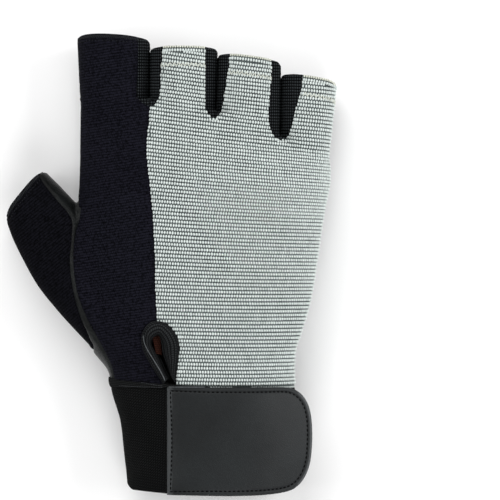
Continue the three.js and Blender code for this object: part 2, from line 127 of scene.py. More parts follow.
# Lines in plan, in shares of the palm's width and the hand's length
planLines = {
    "middleSeam": [(-0.222, 1.1), (-0.222, 0.793), (-0.230, 0.726), (-0.234, 0.670), (-0.230, 0.627),
                   (-0.222, 0.579), (-0.214, 0.528), (-0.208, 0.472), (-0.204, 0.415), (-0.200, 0.353),
                   (-0.198, 0.274), (-0.194, 0.217), (-0.190, 0.150), (-0.160, 0.020), (-0.155, -0.050)],
    "sideSeamTop": [(-0.7, 1.1), (-0.7, 0.66), (-0.509, 0.641), (-0.509, 0.511)],
    "thumbLineOnHand": [(-0.500, 0.508), (-0.502, 0.486), (-0.508, 0.458), (-0.518, 0.407),
                        (-0.523, 0.364), (-0.517, 0.308), (-0.501, 0.251), (-0.464, 0.184),
                        (-0.417, 0.119), (-0.377, 0.056), (-0.353, -0.030)],
    "thumbLineOnThumb": [(-0.674, 0.640), (-0.651, 0.591), (-0.619, 0.557), (-0.577, 0.521),
                         (-0.544, 0.494), (-0.526, 0.466), (-0.530, 0.415), (-0.538, 0.353),
                         (-0.526, 0.274), (-0.500, 0.198), (-0.468, 0.141), (-0.450, 0.110),
                         (-0.475, 0.060)],
    "index_middle": [(-0.264, 1.1), (-0.264, 0.966), (-0.266, 0.882), (-0.272, 0.834), (-0.258, 0.807),
                     (-0.222, 0.793), (-0.198, 0.802), (-0.188, 0.822), (-0.184, 0.845), (-0.179, 0.910),
                     (-0.175, 0.958), (-0.175, 1.1)],
    "middle_ring": [(0.002, 1.1), (0.002, 0.924), (0.002, 0.839), (0.002, 0.796), (0.010, 0.772),
                    (0.030, 0.760), (0.050, 0.767), (0.062, 0.787), (0.070, 0.831), (0.079, 0.873),
                    (0.091, 0.918), (0.099, 1.1)],
    "ring_little": [(0.263, 1.1), (0.263, 0.918), (0.258, 0.839), (0.252, 0.769), (0.258, 0.732),
                    (0.276, 0.706), (0.300, 0.698), (0.323, 0.709), (0.337, 0.737), (0.349, 0.774),
                    (0.367, 0.817), (0.379, 0.856), (0.400, 1.1)],
    "ventOutside": [(-0.169, -0.050), (-0.171, 0.008), (-0.198, 0.042), (-0.224, 0.073),
                    (-0.247, 0.104), (-0.255, 0.136), (-0.246, 0.162), (-0.222, 0.182),
                    (-0.192, 0.188), (-0.159, 0.182), (-0.131, 0.165), (-0.111, 0.141),
                    (-0.103, 0.116), (-0.106, 0.090), (-0.112, 0.059), (-0.117, 0.020),
                    (-0.115, -0.050)],
    "ventOpening": [(-0.148, 0.026), (-0.169, 0.053), (-0.190, 0.085), (-0.208, 0.110),
                    (-0.217, 0.130), (-0.204, 0.144), (-0.183, 0.150), (-0.165, 0.130),
                    (-0.157, 0.102), (-0.147, 0.065), (-0.138, 0.034)],
    "padOutline": [(-0.476, 0.668), (-0.262, 0.672), (0.016, 0.673), (0.254, 0.672), (0.496, 0.670),
                   (0.480, 0.528), (0.452, 0.401), (0.425, 0.302), (0.389, 0.203), (0.333, 0.178),
                   (0.262, 0.160), (0.143, 0.148), (0.024, 0.167), (-0.095, 0.240), (-0.143, 0.288),
                   (-0.175, 0.331), (-0.222, 0.396), (-0.282, 0.449), (-0.361, 0.492),
                   (-0.440, 0.517), (-0.476, 0.534)],
}
# The tab's outline, in shares of its length from the sewn end and of its width
tabOutline = [(0, 1), (0.75, 1), (0.85, 0.99), (0.919, 0.94), (0.967, 0.85), (0.992, 0.73),
              (1, 0.58), (0.997, 0.43), (0.985, 0.3), (0.953, 0.18), (0.9, 0.088), (0.82, 0.035),
              (0.66, 0.008), (0.43, 0), (0, 0.01)]


# Small helpers

def mix(start, end, share):
    return start + (end - start) * share


def selectOnly(*objects):
    bpy.ops.object.select_all(action="DESELECT")
    for obj in objects:
        obj.select_set(True)
    bpy.context.view_layer.objects.active = objects[0]


def readMesh(items, key, kind, width=1):
    values = np.empty(len(items) * width, kind)
    items.foreach_get(key, values)
    return values.reshape(-1, width) if width > 1 else values


def getPoints(obj):
    return readMesh(obj.data.vertices, "co", float, 3)


def getNormals(obj):
    return readMesh(obj.data.vertices, "normal", float, 3)


def setPoints(obj, points):
    obj.data.vertices.foreach_set("co", np.asarray(points, float).ravel())
    obj.data.update()


def pushIn(obj, points, normals, drop):
    # Moves points in along their normals, but never below the floor
    moved = points - normals * drop[:, None]
    moved[:, 2] = np.maximum(moved[:, 2], 0)
    setPoints(obj, moved)


def applyModifier(obj, kind, **settings):
    selectOnly(obj)
    modifier = obj.modifiers.new(kind.lower(), kind)
    for name, value in settings.items():
        setattr(modifier, name, value)
    bpy.ops.object.modifier_apply(modifier=modifier.name)


def editMesh(obj, *steps):
    selectOnly(obj)
    bpy.ops.object.mode_set(mode="EDIT")
    bpy.ops.mesh.select_all(action="SELECT")
    for step in steps:
        step()
    bpy.ops.object.mode_set(mode="OBJECT")


def evenNormals():
    bpy.ops.mesh.normals_make_consistent(inside=False)


def weld(threshold):
    return lambda: bpy.ops.mesh.remove_doubles(threshold=threshold)


def faceUp(obj):
    if getNormals(obj)[:, 2].mean() < 0:
        editMesh(obj, bpy.ops.mesh.flip_normals)


def smoothShade(obj):
    selectOnly(obj)
    bpy.ops.object.shade_smooth()


def copyOf(obj, name):
    copy = obj.copy()
    copy.data = obj.data.copy()
    copy.name = name
    bpy.context.collection.objects.link(copy)
    return copy


def remove(*objects):
    for obj in objects:
        bpy.data.objects.remove(obj, do_unlink=True)


def smoothAt(values, at):
    # A smooth curve through evenly numbered values
    values = np.asarray(values, float)
    last = len(values) - 1
    first = np.clip(np.floor(at).astype(int), 0, last - 1)
    t = at - first
    a, b = values[np.maximum(first - 1, 0)], values[first]
    c, d = values[first + 1], values[np.minimum(first + 2, last)]
    return 0.5 * (2 * b + (c - a) * t + (2 * a - 5 * b + 4 * c - d) * t ** 2
                  + (3 * b - a - 3 * c + d) * t ** 3)


def smoothPlan(table, count):
    # A smooth line in plan through a table of shares
    table = np.array(table)
    at = np.linspace(0, len(table) - 1, count)
    return np.stack(onHand(smoothAt(table[:, 0], at), smoothAt(table[:, 1], at)), 1)


def smoothLine(name, steps=6):
    table = planLines[name]
    return [tuple(point) for point in smoothPlan(table, steps * (len(table) - 1) + 1)]


def straightLine(name):
    return [tuple(map(float, onHand(x, y))) for x, y in planLines[name]]


def lengthAlong(path):
    steps = np.linalg.norm(np.diff(path, axis=0), axis=1)
    return np.concatenate([[0], np.cumsum(steps)])


def valuesAt(at, length, table):
    return np.stack([np.interp(at, length, column) for column in np.asarray(table).T], 1)


# Rays: where they start, and how steep a surface they still count

rays = {"above": 80 * mm, "below": -50 * mm, "outside": 80 * mm, "farOutside": 150 * mm, "least": 0.1}


def treeOf(obj):
    return BVHTree.FromObject(obj, bpy.context.evaluated_depsgraph_get())


def castRay(tree, start, direction):
    hit, normal, _, _ = tree.ray_cast(Vector(start), Vector(direction))
    return hit, normal


def castDown(tree, x, y):
    return castRay(tree, (x, y, rays["above"]), (0, 0, -1))


def trace(tree, plan, under=False):
    # A line in plan laid on a surface from above, or on the palm from below
    points, normals = [], []
    for x, y in plan:
        if under:
            hit, normal = castRay(tree, (x, y, rays["below"]), (0, 0, 1))
        else:
            hit, normal = castDown(tree, x, y)
        if hit is not None and (-normal.z if under else normal.z) > rays["least"]:
            points.append(tuple(hit))
            normals.append(tuple(normal))
    return points, normals


# Sections, as in the frame

def sectionPoint(u, left, right, low, top, sag, powers, inset):
    angle = 2 * math.pi * u
    c, s = np.cos(angle), np.sin(angle)
    power = np.where(s > 0, 2 / powers[0], 2 / powers[1])
    waist = low + (top - low) * sectionForm["waist"]
    depth = np.where(s > 0, top - waist, waist - low + sag) - inset
    x = (left + right) / 2 + np.sign(c) * np.abs(c) ** power * ((right - left) / 2 - inset)
    z = waist + np.sign(s) * depth * np.abs(s) ** power
    return x, np.maximum(np.maximum(z, low + inset), 0)


def sectionAt(sections, at):
    left, right = (smoothAt(sections[side], at) * hand["palmWidth"] for side in ("left", "right"))
    return left, right, smoothAt(sections["top"], at) * hand["depth"]


def placeHand(u, v):
    at = v * (len(handSections["y"]) - 1)
    left, right, top = sectionAt(handSections, at)
    low = np.clip(smoothAt(handSections["lift"], at), 0, 1) * hand["padLift"]
    x, z = sectionPoint(u, left, right, low, top, sectionForm["sag"], sectionForm["handPowers"], 0)
    share = (x / hand["palmWidth"] + 0.5) / sectionForm["rootsWide"]
    flat, slope, curve = sectionForm["rootsCurve"]
    roots = flat + slope * share + curve * share ** 2
    straight = smoothAt(handSections["y"], at)
    bend = np.clip(smoothAt(handSections["bend"], at), 0, 1)
    y = mix(straight, roots, bend)
    run = np.where(v == 0, runOn["wrist"], 0)
    return np.stack([centreX + x, handStart + y * hand["length"] - run, z], axis=1)


def hemY(finger, x, z):
    # Height of a finger's hem over the plan, from its place across the finger and its height
    left, right = [side * hand["palmWidth"] for side in finger["hem"]]
    low = hand["padLift"] + hand["fingerLift"]
    top = finger["tops"][1] * hand["depth"]
    across = (x - centreX - left) / (right - left)
    end = mix(*finger["ends"], across) * hand["length"]
    bow = finger["bow"] * (1 - (2 * across - 1) ** 2)
    return handStart + end - hand["hemSlant"] * (1 - (z - low) / (top - low) - bow)


def placeFinger(finger):
    def place(u, v):
        share = v * (1 + runOn["finger"] / hand["length"] / (finger["ends"][1] - finger["start"]))
        left, right = (mix(finger["root"][side], finger["hem"][side], share) * hand["palmWidth"]
                       for side in (0, 1))
        tuck = hand["rootTuck"] * np.maximum(0, 1 - share / hand["tuckReach"])
        low = hand["padLift"] + hand["fingerLift"] + tuck
        top = mix(*finger["tops"], share) * hand["depth"]
        x, z = sectionPoint(u, left, right, low, top, 0, sectionForm["fingerPowers"], hand["fingerSlim"])
        start = handStart + finger["start"] * hand["length"]
        y = start + share * (handStart + finger["ends"][0] * hand["length"] - start)
        return np.stack([centreX + x, y, z], axis=1)
    return place


def thumbEdge(side, at):
    x, y = (smoothAt(thumbSections[side + axis], at) for axis in "XY")
    return np.stack(onHand(x, y), 1)


def placeThumb(u, v):
    rows = len(thumbSections["top"]) - 1
    at = v * (rows + runOn["thumbRows"])
    on = np.minimum(at, rows)
    outer = thumbEdge("outer", on)
    across = thumbEdge("inner", on) - outer
    width = np.linalg.norm(across, axis=1)
    across /= width[:, None]
    ahead = np.stack([-across[:, 1], across[:, 0]], 1)
    top = smoothAt(thumbSections["top"], on) * hand["depth"]
    x, z = sectionPoint(u, 0, width, hand["padLift"], top, 0, sectionForm["fingerPowers"], 0)
    plan = outer + across * x[:, None] + ahead * ((at - on) * runOn["thumb"])[:, None]
    return np.column_stack([plan, z])


def grid(name, across, along, place):
    # A flat grid laid over a form: place turns its two shares into points
    bpy.ops.mesh.primitive_grid_add(x_subdivisions=across, y_subdivisions=along, size=1)
    obj = bpy.context.object
    obj.name = name
    flat = getPoints(obj)
    setPoints(obj, place(flat[:, 0] + 0.5, flat[:, 1] + 0.5))
    return obj


def closedTube(name, around, along, place):
    obj = grid(name, around, along, place)
    editMesh(obj, weld(1e-6), lambda: bpy.ops.mesh.fill_holes(sides=0), evenNormals)
    return obj


# Cutters: their faces carry the second material, by which they are found after a cut

clothFill = bpy.data.materials.new("clothFill")
cutFill = bpy.data.materials.new("cutFill")
cutting = {
    "hemSpare": 0.5 * mm,
    "hemAhead": 25 * mm,
    "hemTall": 45 * mm,
    "hemBelow": 5 * mm,
    "thumbAhead": 22 * mm,
    "low": -10 * mm,
    "high": 60 * mm,
    "wide": 100 * mm,
    "far": 200 * mm,
    "ventLow": 15 * mm,
    "thumbLow": 0.3,
    "seamTall": 80 * mm,
    "looseWeld": 2e-5,
}


# The seam between the back and the palm, as shares of the depth: level on the thumb's side, and
# lower towards the wrist on the little finger's. The cutter's own corners are in mm.
backSeam = {
    "thumb": 0.417,
    "at": [-0.2, 0.3, 0.6, 1.2],
    "little": [0.167, 0.2, 0.3, 0.3],
    "corners": ([0, 0.4, 0.6, 1], [-200, -15, 15, 200]),
    "from": -30,
    "long": 200,
}
# The thumb's hem runs a little past the thumb to both sides
thumbHem = {"span": (-0.12, 1.12), "points": 25, "power": 4, "least": -0.5}


def giveFills(obj):
    obj.data.materials.clear()
    obj.data.materials.append(clothFill)
    obj.data.materials.append(cutFill)


def markCutter(obj):
    editMesh(obj, evenNormals)
    giveFills(obj)
    obj.data.polygons.foreach_set("material_index", [1] * len(obj.data.polygons))
    return obj


def prismCutter(name, outline, low, high):
    bpy.ops.mesh.primitive_circle_add(vertices=len(outline), fill_type="NGON")
    obj = bpy.context.object
    obj.name = name
    setPoints(obj, [(x, y, low) for x, y in outline])
    rise = {"value": (0, 0, high - low)}
    editMesh(obj, lambda: bpy.ops.mesh.extrude_region_move(TRANSFORM_OT_translate=rise))
    return markCutter(obj)


def blockCutter(name, cuts, place):
    bpy.ops.mesh.primitive_cube_add(size=1)
    obj = bpy.context.object
    obj.name = name
    editMesh(obj, lambda: bpy.ops.mesh.subdivide(number_cuts=cuts))
    setPoints(obj, place(*(getPoints(obj) + 0.5).T))
    return markCutter(obj)


def cut(obj, cutter, operation):
    applyModifier(obj, "BOOLEAN", object=cutter, operation=operation, solver="MANIFOLD")


# The closed form of the gloved hand, which every panel is cut from

def makeHandForm():
    parts = [closedTube("handBody", *formGrid["hand"], placeHand),
             closedTube("thumbBody", *formGrid["thumb"], placeThumb)]
    for name, finger in fingers.items():
        parts.append(closedTube(name + "Body", *formGrid["finger"], placeFinger(finger)))
    selectOnly(*parts)
    bpy.ops.object.join()
    form = parts[0]
    form.name = "handForm"
    applyModifier(form, "REMESH", mode="VOXEL", voxel_size=hand["voxel"], use_smooth_shade=True)
    applyModifier(form, "SMOOTH", factor=0.5, iterations=7)
    giveFills(form)
    return form


def hemCutter(name, finger):
    left, right = (centreX + side * hand["palmWidth"] for side in finger["hem"])

    def place(x, y, z):
        x = mix(left - cutting["hemSpare"], right + cutting["hemSpare"], x)
        z = cutting["hemTall"] * z - cutting["hemBelow"]
        return np.stack([x, hemY(finger, x, z) + y * cutting["hemAhead"], z], 1)
    return blockCutter(name + "Hem", 12, place)


def thumbHemLine():
    outer, inner = (np.array(onHand(thumbSections[side + "X"][-1], thumbSections[side + "Y"][-1]))
                    for side in ("outer", "inner"))
    across = inner - outer
    ahead = np.array([-across[1], across[0]]) / np.linalg.norm(across)
    shares = np.linspace(*thumbHem["span"], thumbHem["points"])
    rounded = np.clip(1 - (2 * shares - 1) ** thumbHem["power"], thumbHem["least"], 1)
    bow = hand["thumbHemBow"] * rounded
    return [tuple(outer + across * s + ahead * b) for s, b in zip(shares, bow)], ahead


def thumbHemCutter():
    line, ahead = thumbHemLine()
    far = [tuple(np.array(line[end]) + ahead * cutting["thumbAhead"]) for end in (-1, 0)]
    return prismCutter("thumbHem", line + far, cutting["low"], cutting["high"])


def wristCutter():
    left, right = centreX - cutting["wide"], centreX + cutting["wide"]
    back = handStart - cutting["wide"] / 2
    outline = [(left, back), (right, back), (right, handStart), (left, handStart)]
    return prismCutter("wristCut", outline, cutting["low"], cutting["high"])


def aboveSeamCutter():
    def place(x, y, z):
        wide = centreX + np.interp(x, *backSeam["corners"]) * mm
        long = handStart + (y * backSeam["long"] + backSeam["from"]) * mm
        little = np.interp((long - handStart) / hand["length"], backSeam["at"], backSeam["little"])
        seam = np.where(wide < centreX, backSeam["thumb"], little) * hand["depth"]
        return np.stack([wide, long, seam + z * cutting["seamTall"]], 1)
    return blockCutter("aboveSeam", 9, place)


print("stage: hand form")
handForm = makeHandForm()
print("  faces", len(handForm.data.polygons))
formTree = treeOf(handForm)

print("stage: hems and panel cutters")
for hem in [hemCutter(name, finger) for name, finger in fingers.items()] + [thumbHemCutter(), wristCutter()]:
    cut(handForm, hem, "DIFFERENCE")
    remove(hem)


def planCutter(name, low, outline=None):
    return prismCutter(name, outline or smoothLine(name), low, cutting["high"])


def toSide(line, x):
    # A line closed by a straight edge far to one side
    return line + [(x, line[-1][1]), (x, line[0][1])]


middleLine = smoothLine("middleSeam")
sideLine = straightLine("sideSeamTop") + smoothLine("thumbLineOnHand")
gaps = ["index_middle", "middle_ring", "ring_little"]
cutters = {
    "above": aboveSeamCutter(),
    "back": planCutter("back", 0, toSide(middleLine, cutting["far"])),
    "side": planCutter("side", 0, middleLine + sideLine[::-1]),
    "thumb": planCutter("thumb", cutting["thumbLow"] * hand["depth"],
                        toSide(smoothLine("thumbLineOnThumb"), -cutting["far"])),
    "vent": planCutter("ventOutside", cutting["ventLow"]),
}
for gap in gaps:
    cutters[gap] = planCutter(gap, cutting["low"])


def cutPanel(name, inside=(), outside=()):
    panel = copyOf(handForm, name)
    for key in inside:
        cut(panel, cutters[key], "INTERSECT")
    for key in outside:
        cut(panel, cutters[key], "DIFFERENCE")
    index = readMesh(panel.data.polygons, "material_index", int)
    selectOnly(panel)
    bpy.ops.object.mode_set(mode="EDIT")
    bpy.ops.mesh.select_mode(type="FACE")
    bpy.ops.mesh.select_all(action="DESELECT")
    bpy.ops.object.mode_set(mode="OBJECT")
    panel.data.polygons.foreach_set("select", index == 1)
    bpy.ops.object.mode_set(mode="EDIT")
    bpy.ops.mesh.delete(type="FACE")
    bpy.ops.mesh.select_all(action="SELECT")
    weld(cutting["looseWeld"])()
    bpy.ops.mesh.separate(type="LOOSE")
    bpy.ops.object.mode_set(mode="OBJECT")
    pieces = sorted(bpy.context.selected_objects, key=lambda o: -len(o.data.polygons))
    remove(*pieces[1:])
    pieces[0].name = name + "_cloth"
    pieces[0].data.materials.clear()
    return pieces[0]


panels = {
    "back_panel": cutPanel("back_panel", ["above", "back"], gaps + ["vent"]),
    "side_panel": cutPanel("side_panel", ["above", "side"], gaps + ["vent"]),
    "thumb_back": cutPanel("thumb_back", ["thumb"]),
}
for part in ("back", "side"):
    cutters[part + "Above"] = copyOf(cutters["above"], part + "Above")
    cut(cutters[part + "Above"], cutters[part], "INTERSECT")
panels["palm_leather"] = cutPanel("palm_leather", [], gaps + ["backAbove", "sideAbove", "thumb", "vent"])
for gap in gaps:
    panels["fourchette_" + gap] = cutPanel("fourchette_" + gap, [gap])
remove(*cutters.values())
for name, panel in panels.items():
    print("  panel", name, len(panel.data.polygons))


# Dressing a panel: its edges turn in along the seams and the hems, then it gets its wall

edges = {
    # mm that an edge rolls in and the width over which it does, at seams and at hems, and the wall
    "back_panel": {"seam": (0.7, 1.6), "hem": (0.8, 1.4), "wall": 1.2},
    "side_panel": {"seam": (0.6, 1.6), "hem": (0.8, 1.4), "wall": 1.2},
    "thumb_back": {"seam": (0.6, 1.6), "hem": (0.8, 1.4), "wall": 1.2},
    "fourchette": {"seam": (0.5, 1.5), "hem": (0.8, 1.4), "wall": 1.2},
    "palm_leather": {"seam": (0.7, 1.8), "hem": (0.9, 1.5), "wall": 1.3},
}
# Shares that part the fingers, and where the fingers and the thumb's hem are found
zones = {
    "bounds": [-0.7, -0.2215, 0.048, 0.298, 0.7],
    "knuckles": 0.6,
    "thumbInner": -0.505,
    "thumbHigh": 0.66,
    "thumbLow": 0.3,
    "thumbReach": 20 * mm,
    "seamBehind": 0.5 * mm,
}


def borderOf(obj):
    mesh = obj.data
    used = np.zeros(len(mesh.edges), int)
    np.add.at(used, readMesh(mesh.loops, "edge_index", int), 1)
    return np.unique(readMesh(mesh.edges, "vertices", int, 2)[used == 1])


def hemDistance(points):
    # How far each point lies behind the hem of its finger, the thumb or the wrist
    x, y, z = points.T
    share = (x - centreX) / hand["palmWidth"]
    result = y - handStart
    bounds = zones["bounds"]
    for i, finger in enumerate(fingers.values()):
        onFinger = (share > bounds[i]) & (share <= bounds[i + 1])
        onFinger &= y > handStart + zones["knuckles"] * hand["length"]
        result = np.where(onFinger, np.minimum(result, hemY(finger, x, z) - y), result)
    line, ahead = thumbHemLine()
    onThumb = (share < zones["thumbInner"]) & (y < handStart + zones["thumbHigh"] * hand["length"])
    onThumb &= y > handStart + zones["thumbLow"] * hand["length"]
    fromLine = points[:, None, :2] - np.array(line)[None, :, :]
    across = np.linalg.norm(fromLine, axis=2)
    behind = -(fromLine @ ahead)[np.arange(len(points)), across.argmin(axis=1)]
    onThumb &= across.min(axis=1) < zones["thumbReach"]
    return np.where(onThumb, np.minimum(result, behind), result)


def seamOf(obj, points):
    border = borderOf(obj)
    return border[hemDistance(points[border]) > zones["seamBehind"]]


def nearestDistance(targets, points):
    tree = KDTree(len(targets))
    for i, point in enumerate(targets):
        tree.insert(point, i)
    tree.balance()
    return np.array([tree.find(point)[2] for point in points])


def planDistance(line, points):
    return nearestDistance(np.column_stack([line, np.zeros(len(line))]), points * (1, 1, 0))


def turnEdges(obj, edge):
    points, normals = getPoints(obj), getNormals(obj)

    def roll(kind, away):
        return edge[kind][0] * mm * np.clip(1 - away / (edge[kind][1] * mm), 0, 1) ** 2
    seam = seamOf(obj, points)
    drop = np.zeros(len(points))
    if len(seam):
        drop += roll("seam", nearestDistance(points[seam], points))
    drop = np.maximum(drop, roll("hem", np.maximum(hemDistance(points), 0)))
    pushIn(obj, points, normals, drop)


def giveWall(obj, thickness, lined=False, **settings):
    if lined:
        obj.data.materials.append(finishes["lining"])
        obj.data.materials.append(finishes["lining"])
    applyModifier(obj, "SOLIDIFY", thickness=thickness, offset=-1, material_offset=int(lined), **settings)
    selectOnly(obj)
    bpy.ops.object.shade_smooth_by_angle(angle=math.radians(50))


def giveUV(obj, place):
    # Cloth coordinates in metres, worked out from the points
    u, v = place(getPoints(obj))
    loops = readMesh(obj.data.loops, "vertex_index", int)
    layer = obj.data.uv_layers.new(name="cloth")
    layer.data.foreach_set("uv", np.stack([u[loops], v[loops]], 1).ravel())


def plainUV(points):
    return points[:, 0], points[:, 1] - 0.15 * points[:, 0]


def givePointValues(mesh, name, values):
    mesh.attributes.new(name, "FLOAT", "POINT").data.foreach_set("value", values)


# Materials

def addNode(tree, kind, inputs=None, **settings):
    node = tree.nodes.new(kind)
    for name, value in settings.items():
        setattr(node, name, value)
    for name, value in (inputs or {}).items():
        if isinstance(value, bpy.types.NodeSocket):
            tree.links.new(value, node.inputs[name])
        else:
            node.inputs[name].default_value = value
    return node


def calc(tree, operation, *values):
    return addNode(tree, "ShaderNodeMath", dict(enumerate(values)), operation=operation).outputs[0]


def blend(tree, factor, first, second):
    mixed = addNode(tree, "ShaderNodeMix", {"Factor": factor, 6: first, 7: second}, data_type="RGBA")
    return mixed.outputs[2]


def mapRange(tree, value, low, high, toLow=0.0, toHigh=1.0):
    return addNode(tree, "ShaderNodeMapRange", {"Value": value, "From Min": low, "From Max": high,
                                                "To Min": toLow, "To Max": toHigh}).outputs[0]


def noiseAt(tree, vector, scale, detail):
    return addNode(tree, "ShaderNodeTexNoise", {"Vector": vector, "Scale": scale, "Detail": detail}).outputs


def attributeOf(tree, name):
    return addNode(tree, "ShaderNodeAttribute", attribute_name=name).outputs["Fac"]


def newGroup(name, inputs, outputs):
    # A node group whose inputs are a vector and the named numbers
    group = bpy.data.node_groups.new(name, "ShaderNodeTree")
    group.interface.new_socket("Vector", in_out="INPUT", socket_type="NodeSocketVector")
    for socket, value in inputs.items():
        made = group.interface.new_socket(socket, in_out="INPUT", socket_type="NodeSocketFloat")
        made.default_value = value
    for socket in outputs:
        group.interface.new_socket(socket, in_out="OUTPUT", socket_type="NodeSocketFloat")
    return group, group.nodes.new("NodeGroupInput").outputs, group.nodes.new("NodeGroupOutput").inputs


def makeKnitGroup():
    # Rows of rounded stitches. Row and Stitch are their pitches, Turn their slant in radians.
    group, given, result = newGroup("knitRows", {
        "Row": 0.001, "Stitch": 0.001, "Shift": 0.5, "Turn": 0.0, "Notch": 0.6, "Sharp": 0.7,
    }, ("Height", "Shade"))
    sway = noiseAt(group, given["Vector"], 180.0, 2.0)["Fac"]
    turned = addNode(group, "ShaderNodeVectorRotate", {"Vector": given["Vector"], "Angle": given["Turn"]},
                     rotation_type="Z_AXIS").outputs[0]
    split = addNode(group, "ShaderNodeSeparateXYZ", {0: turned}).outputs
    push = calc(group, "MULTIPLY", calc(group, "SUBTRACT", sway, 0.5), 0.5 * mm)
    row = calc(group, "DIVIDE", calc(group, "ADD", split["Y"], push), given["Row"])
    shifted = calc(group, "MULTIPLY", calc(group, "FLOOR", row), given["Shift"])
    stitch = calc(group, "ADD", calc(group, "DIVIDE", split["X"], given["Stitch"]), shifted)

    def hump(value):
        centred = calc(group, "MULTIPLY_ADD", calc(group, "FRACT", value), 2.0, -1.0)
        return calc(group, "SUBTRACT", 1.0, calc(group, "MULTIPLY", centred, centred))
    along = calc(group, "MULTIPLY", calc(group, "SUBTRACT", 1.0, hump(stitch)), given["Notch"])
    height = calc(group, "MULTIPLY", hump(row), calc(group, "SUBTRACT", 1.0, along))
    group.links.new(height, result["Height"])
    # Shade, the height raised to a power, is used to paint shade in the grooves
    group.links.new(calc(group, "POWER", height, given["Sharp"]), result["Shade"])
    return group


def makeGrainGroup():
    # Leather grain: pebbles with fine creases and broad worn patches
    group, given, result = newGroup("leatherGrain", {"Pebble": 900.0, "Patch": 40.0},
                                    ("Height", "Crease", "Wear"))
    warp = noiseAt(group, given["Vector"], 300.0, 3.0)["Color"]
    pushed = addNode(group, "ShaderNodeVectorMath", {0: warp, 1: (1.2 * mm,) * 3}, operation="MULTIPLY")
    place = addNode(group, "ShaderNodeVectorMath", {0: given["Vector"], 1: pushed.outputs[0]},
                    operation="ADD")
    cells = addNode(group, "ShaderNodeTexVoronoi", {"Vector": place.outputs[0], "Scale": given["Pebble"]},
                    feature="DISTANCE_TO_EDGE")
    crease = mapRange(group, cells.outputs["Distance"], 0.0, 0.28)
    fine = noiseAt(group, given["Vector"], 1500.0, 3.0)["Fac"]
    group.links.new(calc(group, "MULTIPLY_ADD", fine, 0.35, crease), result["Height"])
    group.links.new(crease, result["Crease"])
    group.links.new(noiseAt(group, given["Vector"], given["Patch"], 4.0)["Fac"], result["Wear"])
    return group


knitGroup = makeKnitGroup()
grainGroup = makeGrainGroup()


def colour(red, green, blue):
    # Linear colour from the 0 to 255 values of a screen
    return tuple(((v / 255) / 12.92 if v < 11 else ((v / 255 + 0.055) / 1.055) ** 2.4)
                 for v in (red, green, blue)) + (1,)


def startMaterial(name, gloss):
    material = bpy.data.materials.new(name)
    material.use_nodes = True
    tree = material.node_tree
    shader = tree.nodes["Principled BSDF"].inputs
    shader["Specular IOR Level"].default_value = gloss
    return material, tree, shader, addNode(tree, "ShaderNodeTexCoord").outputs["Object"]


def raiseBump(tree, shader, height, distance, strength=1.0):
    raised = addNode(tree, "ShaderNodeBump", {"Height": height, "Distance": distance, "Strength": strength})
    tree.links.new(raised.outputs[0], shader["Normal"])


def knitMaterial(name, dark, light, row, stitch, roughness, bump, shift=0.5, turn=0.0, notch=0.6, gloss=0.03,
                 sharp=0.7, fleck=0.0):
    # Pitches and bump are in mm. Fleck is how much single fibres differ in tone.
    material, tree, shader, where = startMaterial(name, gloss)
    uv = addNode(tree, "ShaderNodeUVMap", uv_map="cloth").outputs[0]
    knit = addNode(tree, "ShaderNodeGroup", node_tree=knitGroup)
    for socket, value in {"Row": row * mm, "Stitch": stitch * mm, "Shift": shift, "Turn": turn,
                          "Notch": notch, "Sharp": sharp}.items():
        knit.inputs[socket].default_value = value
    tree.links.new(uv, knit.inputs["Vector"])
    # Painted shade: the knit's Shade darkens the grooves between rows and stitches, dark colour there and
    # light on their tops
    shade = knit.outputs["Shade"]
    soft = noiseAt(tree, where, 55.0, 4.0)["Fac"]
    amount = calc(tree, "MULTIPLY", shade, calc(tree, "MULTIPLY_ADD", soft, 0.9, 0.5))
    if fleck:
        fibres = noiseAt(tree, where, 1100.0, 2.0)["Fac"]
        amount = calc(tree, "MULTIPLY", amount, mapRange(tree, fibres, 0.32, 0.68, 1.0 - fleck, 1.0 + fleck))
    tree.links.new(blend(tree, amount, colour(*dark), colour(*light)), shader["Base Color"])
    tree.links.new(calc(tree, "MULTIPLY_ADD", shade, -0.12, roughness), shader["Roughness"])
    raiseBump(tree, shader, knit.outputs["Height"], bump * mm)
    return material


def leatherMaterial(name, dark, light, pebble, roughness, bump, patch=40.0, gloss=0.2):
    # The attribute "pale" mixes in a paler colour; on the tab it gives a paler sewn strip, a painted
    # highlight on the rounded rim and painted light growing towards the free end
    material, tree, shader, where = startMaterial(name, gloss)
    grain = addNode(tree, "ShaderNodeGroup", node_tree=grainGroup)
    grain.inputs["Pebble"].default_value = pebble
    grain.inputs["Patch"].default_value = patch
    tree.links.new(where, grain.inputs["Vector"])
    wear, crease = grain.outputs["Wear"], grain.outputs["Crease"]
    wearAndSheen = mapRange(tree, wear, 0.34, 0.66)
    # Painted shade: the tone is darker in the grain's creases
    tone = calc(tree, "MULTIPLY", wearAndSheen, calc(tree, "MULTIPLY_ADD", crease, 0.5, 0.5))
    pale = calc(tree, "MULTIPLY", attributeOf(tree, "pale"), 0.5)
    base = blend(tree, tone, colour(*dark), colour(*light))
    tree.links.new(blend(tree, pale, base, colour(112, 116, 118)), shader["Base Color"])
    tree.links.new(calc(tree, "MULTIPLY_ADD", wear, -0.18, roughness + 0.09), shader["Roughness"])
    raiseBump(tree, shader, grain.outputs["Height"], bump * mm)
    return material


def threadMaterial(name, dark, light, baseShade=None, roughness=0.7, gloss=0.15):
    # Raised stitches can be given a third colour for where they sink into the cloth: painted shade at their
    # base
    material, tree, shader, where = startMaterial(name, gloss)
    tufts = noiseAt(tree, where, 900.0, 2.0)["Fac"]
    thread = blend(tree, tufts, colour(*dark), colour(*light))
    if baseShade:
        thread = blend(tree, calc(tree, "POWER", attributeOf(tree, "raised"), 0.8), colour(*baseShade), thread)
    tree.links.new(thread, shader["Base Color"])
    raiseBump(tree, shader, tufts, 0.1 * mm, 0.6)
    shader["Roughness"].default_value = roughness
    return material


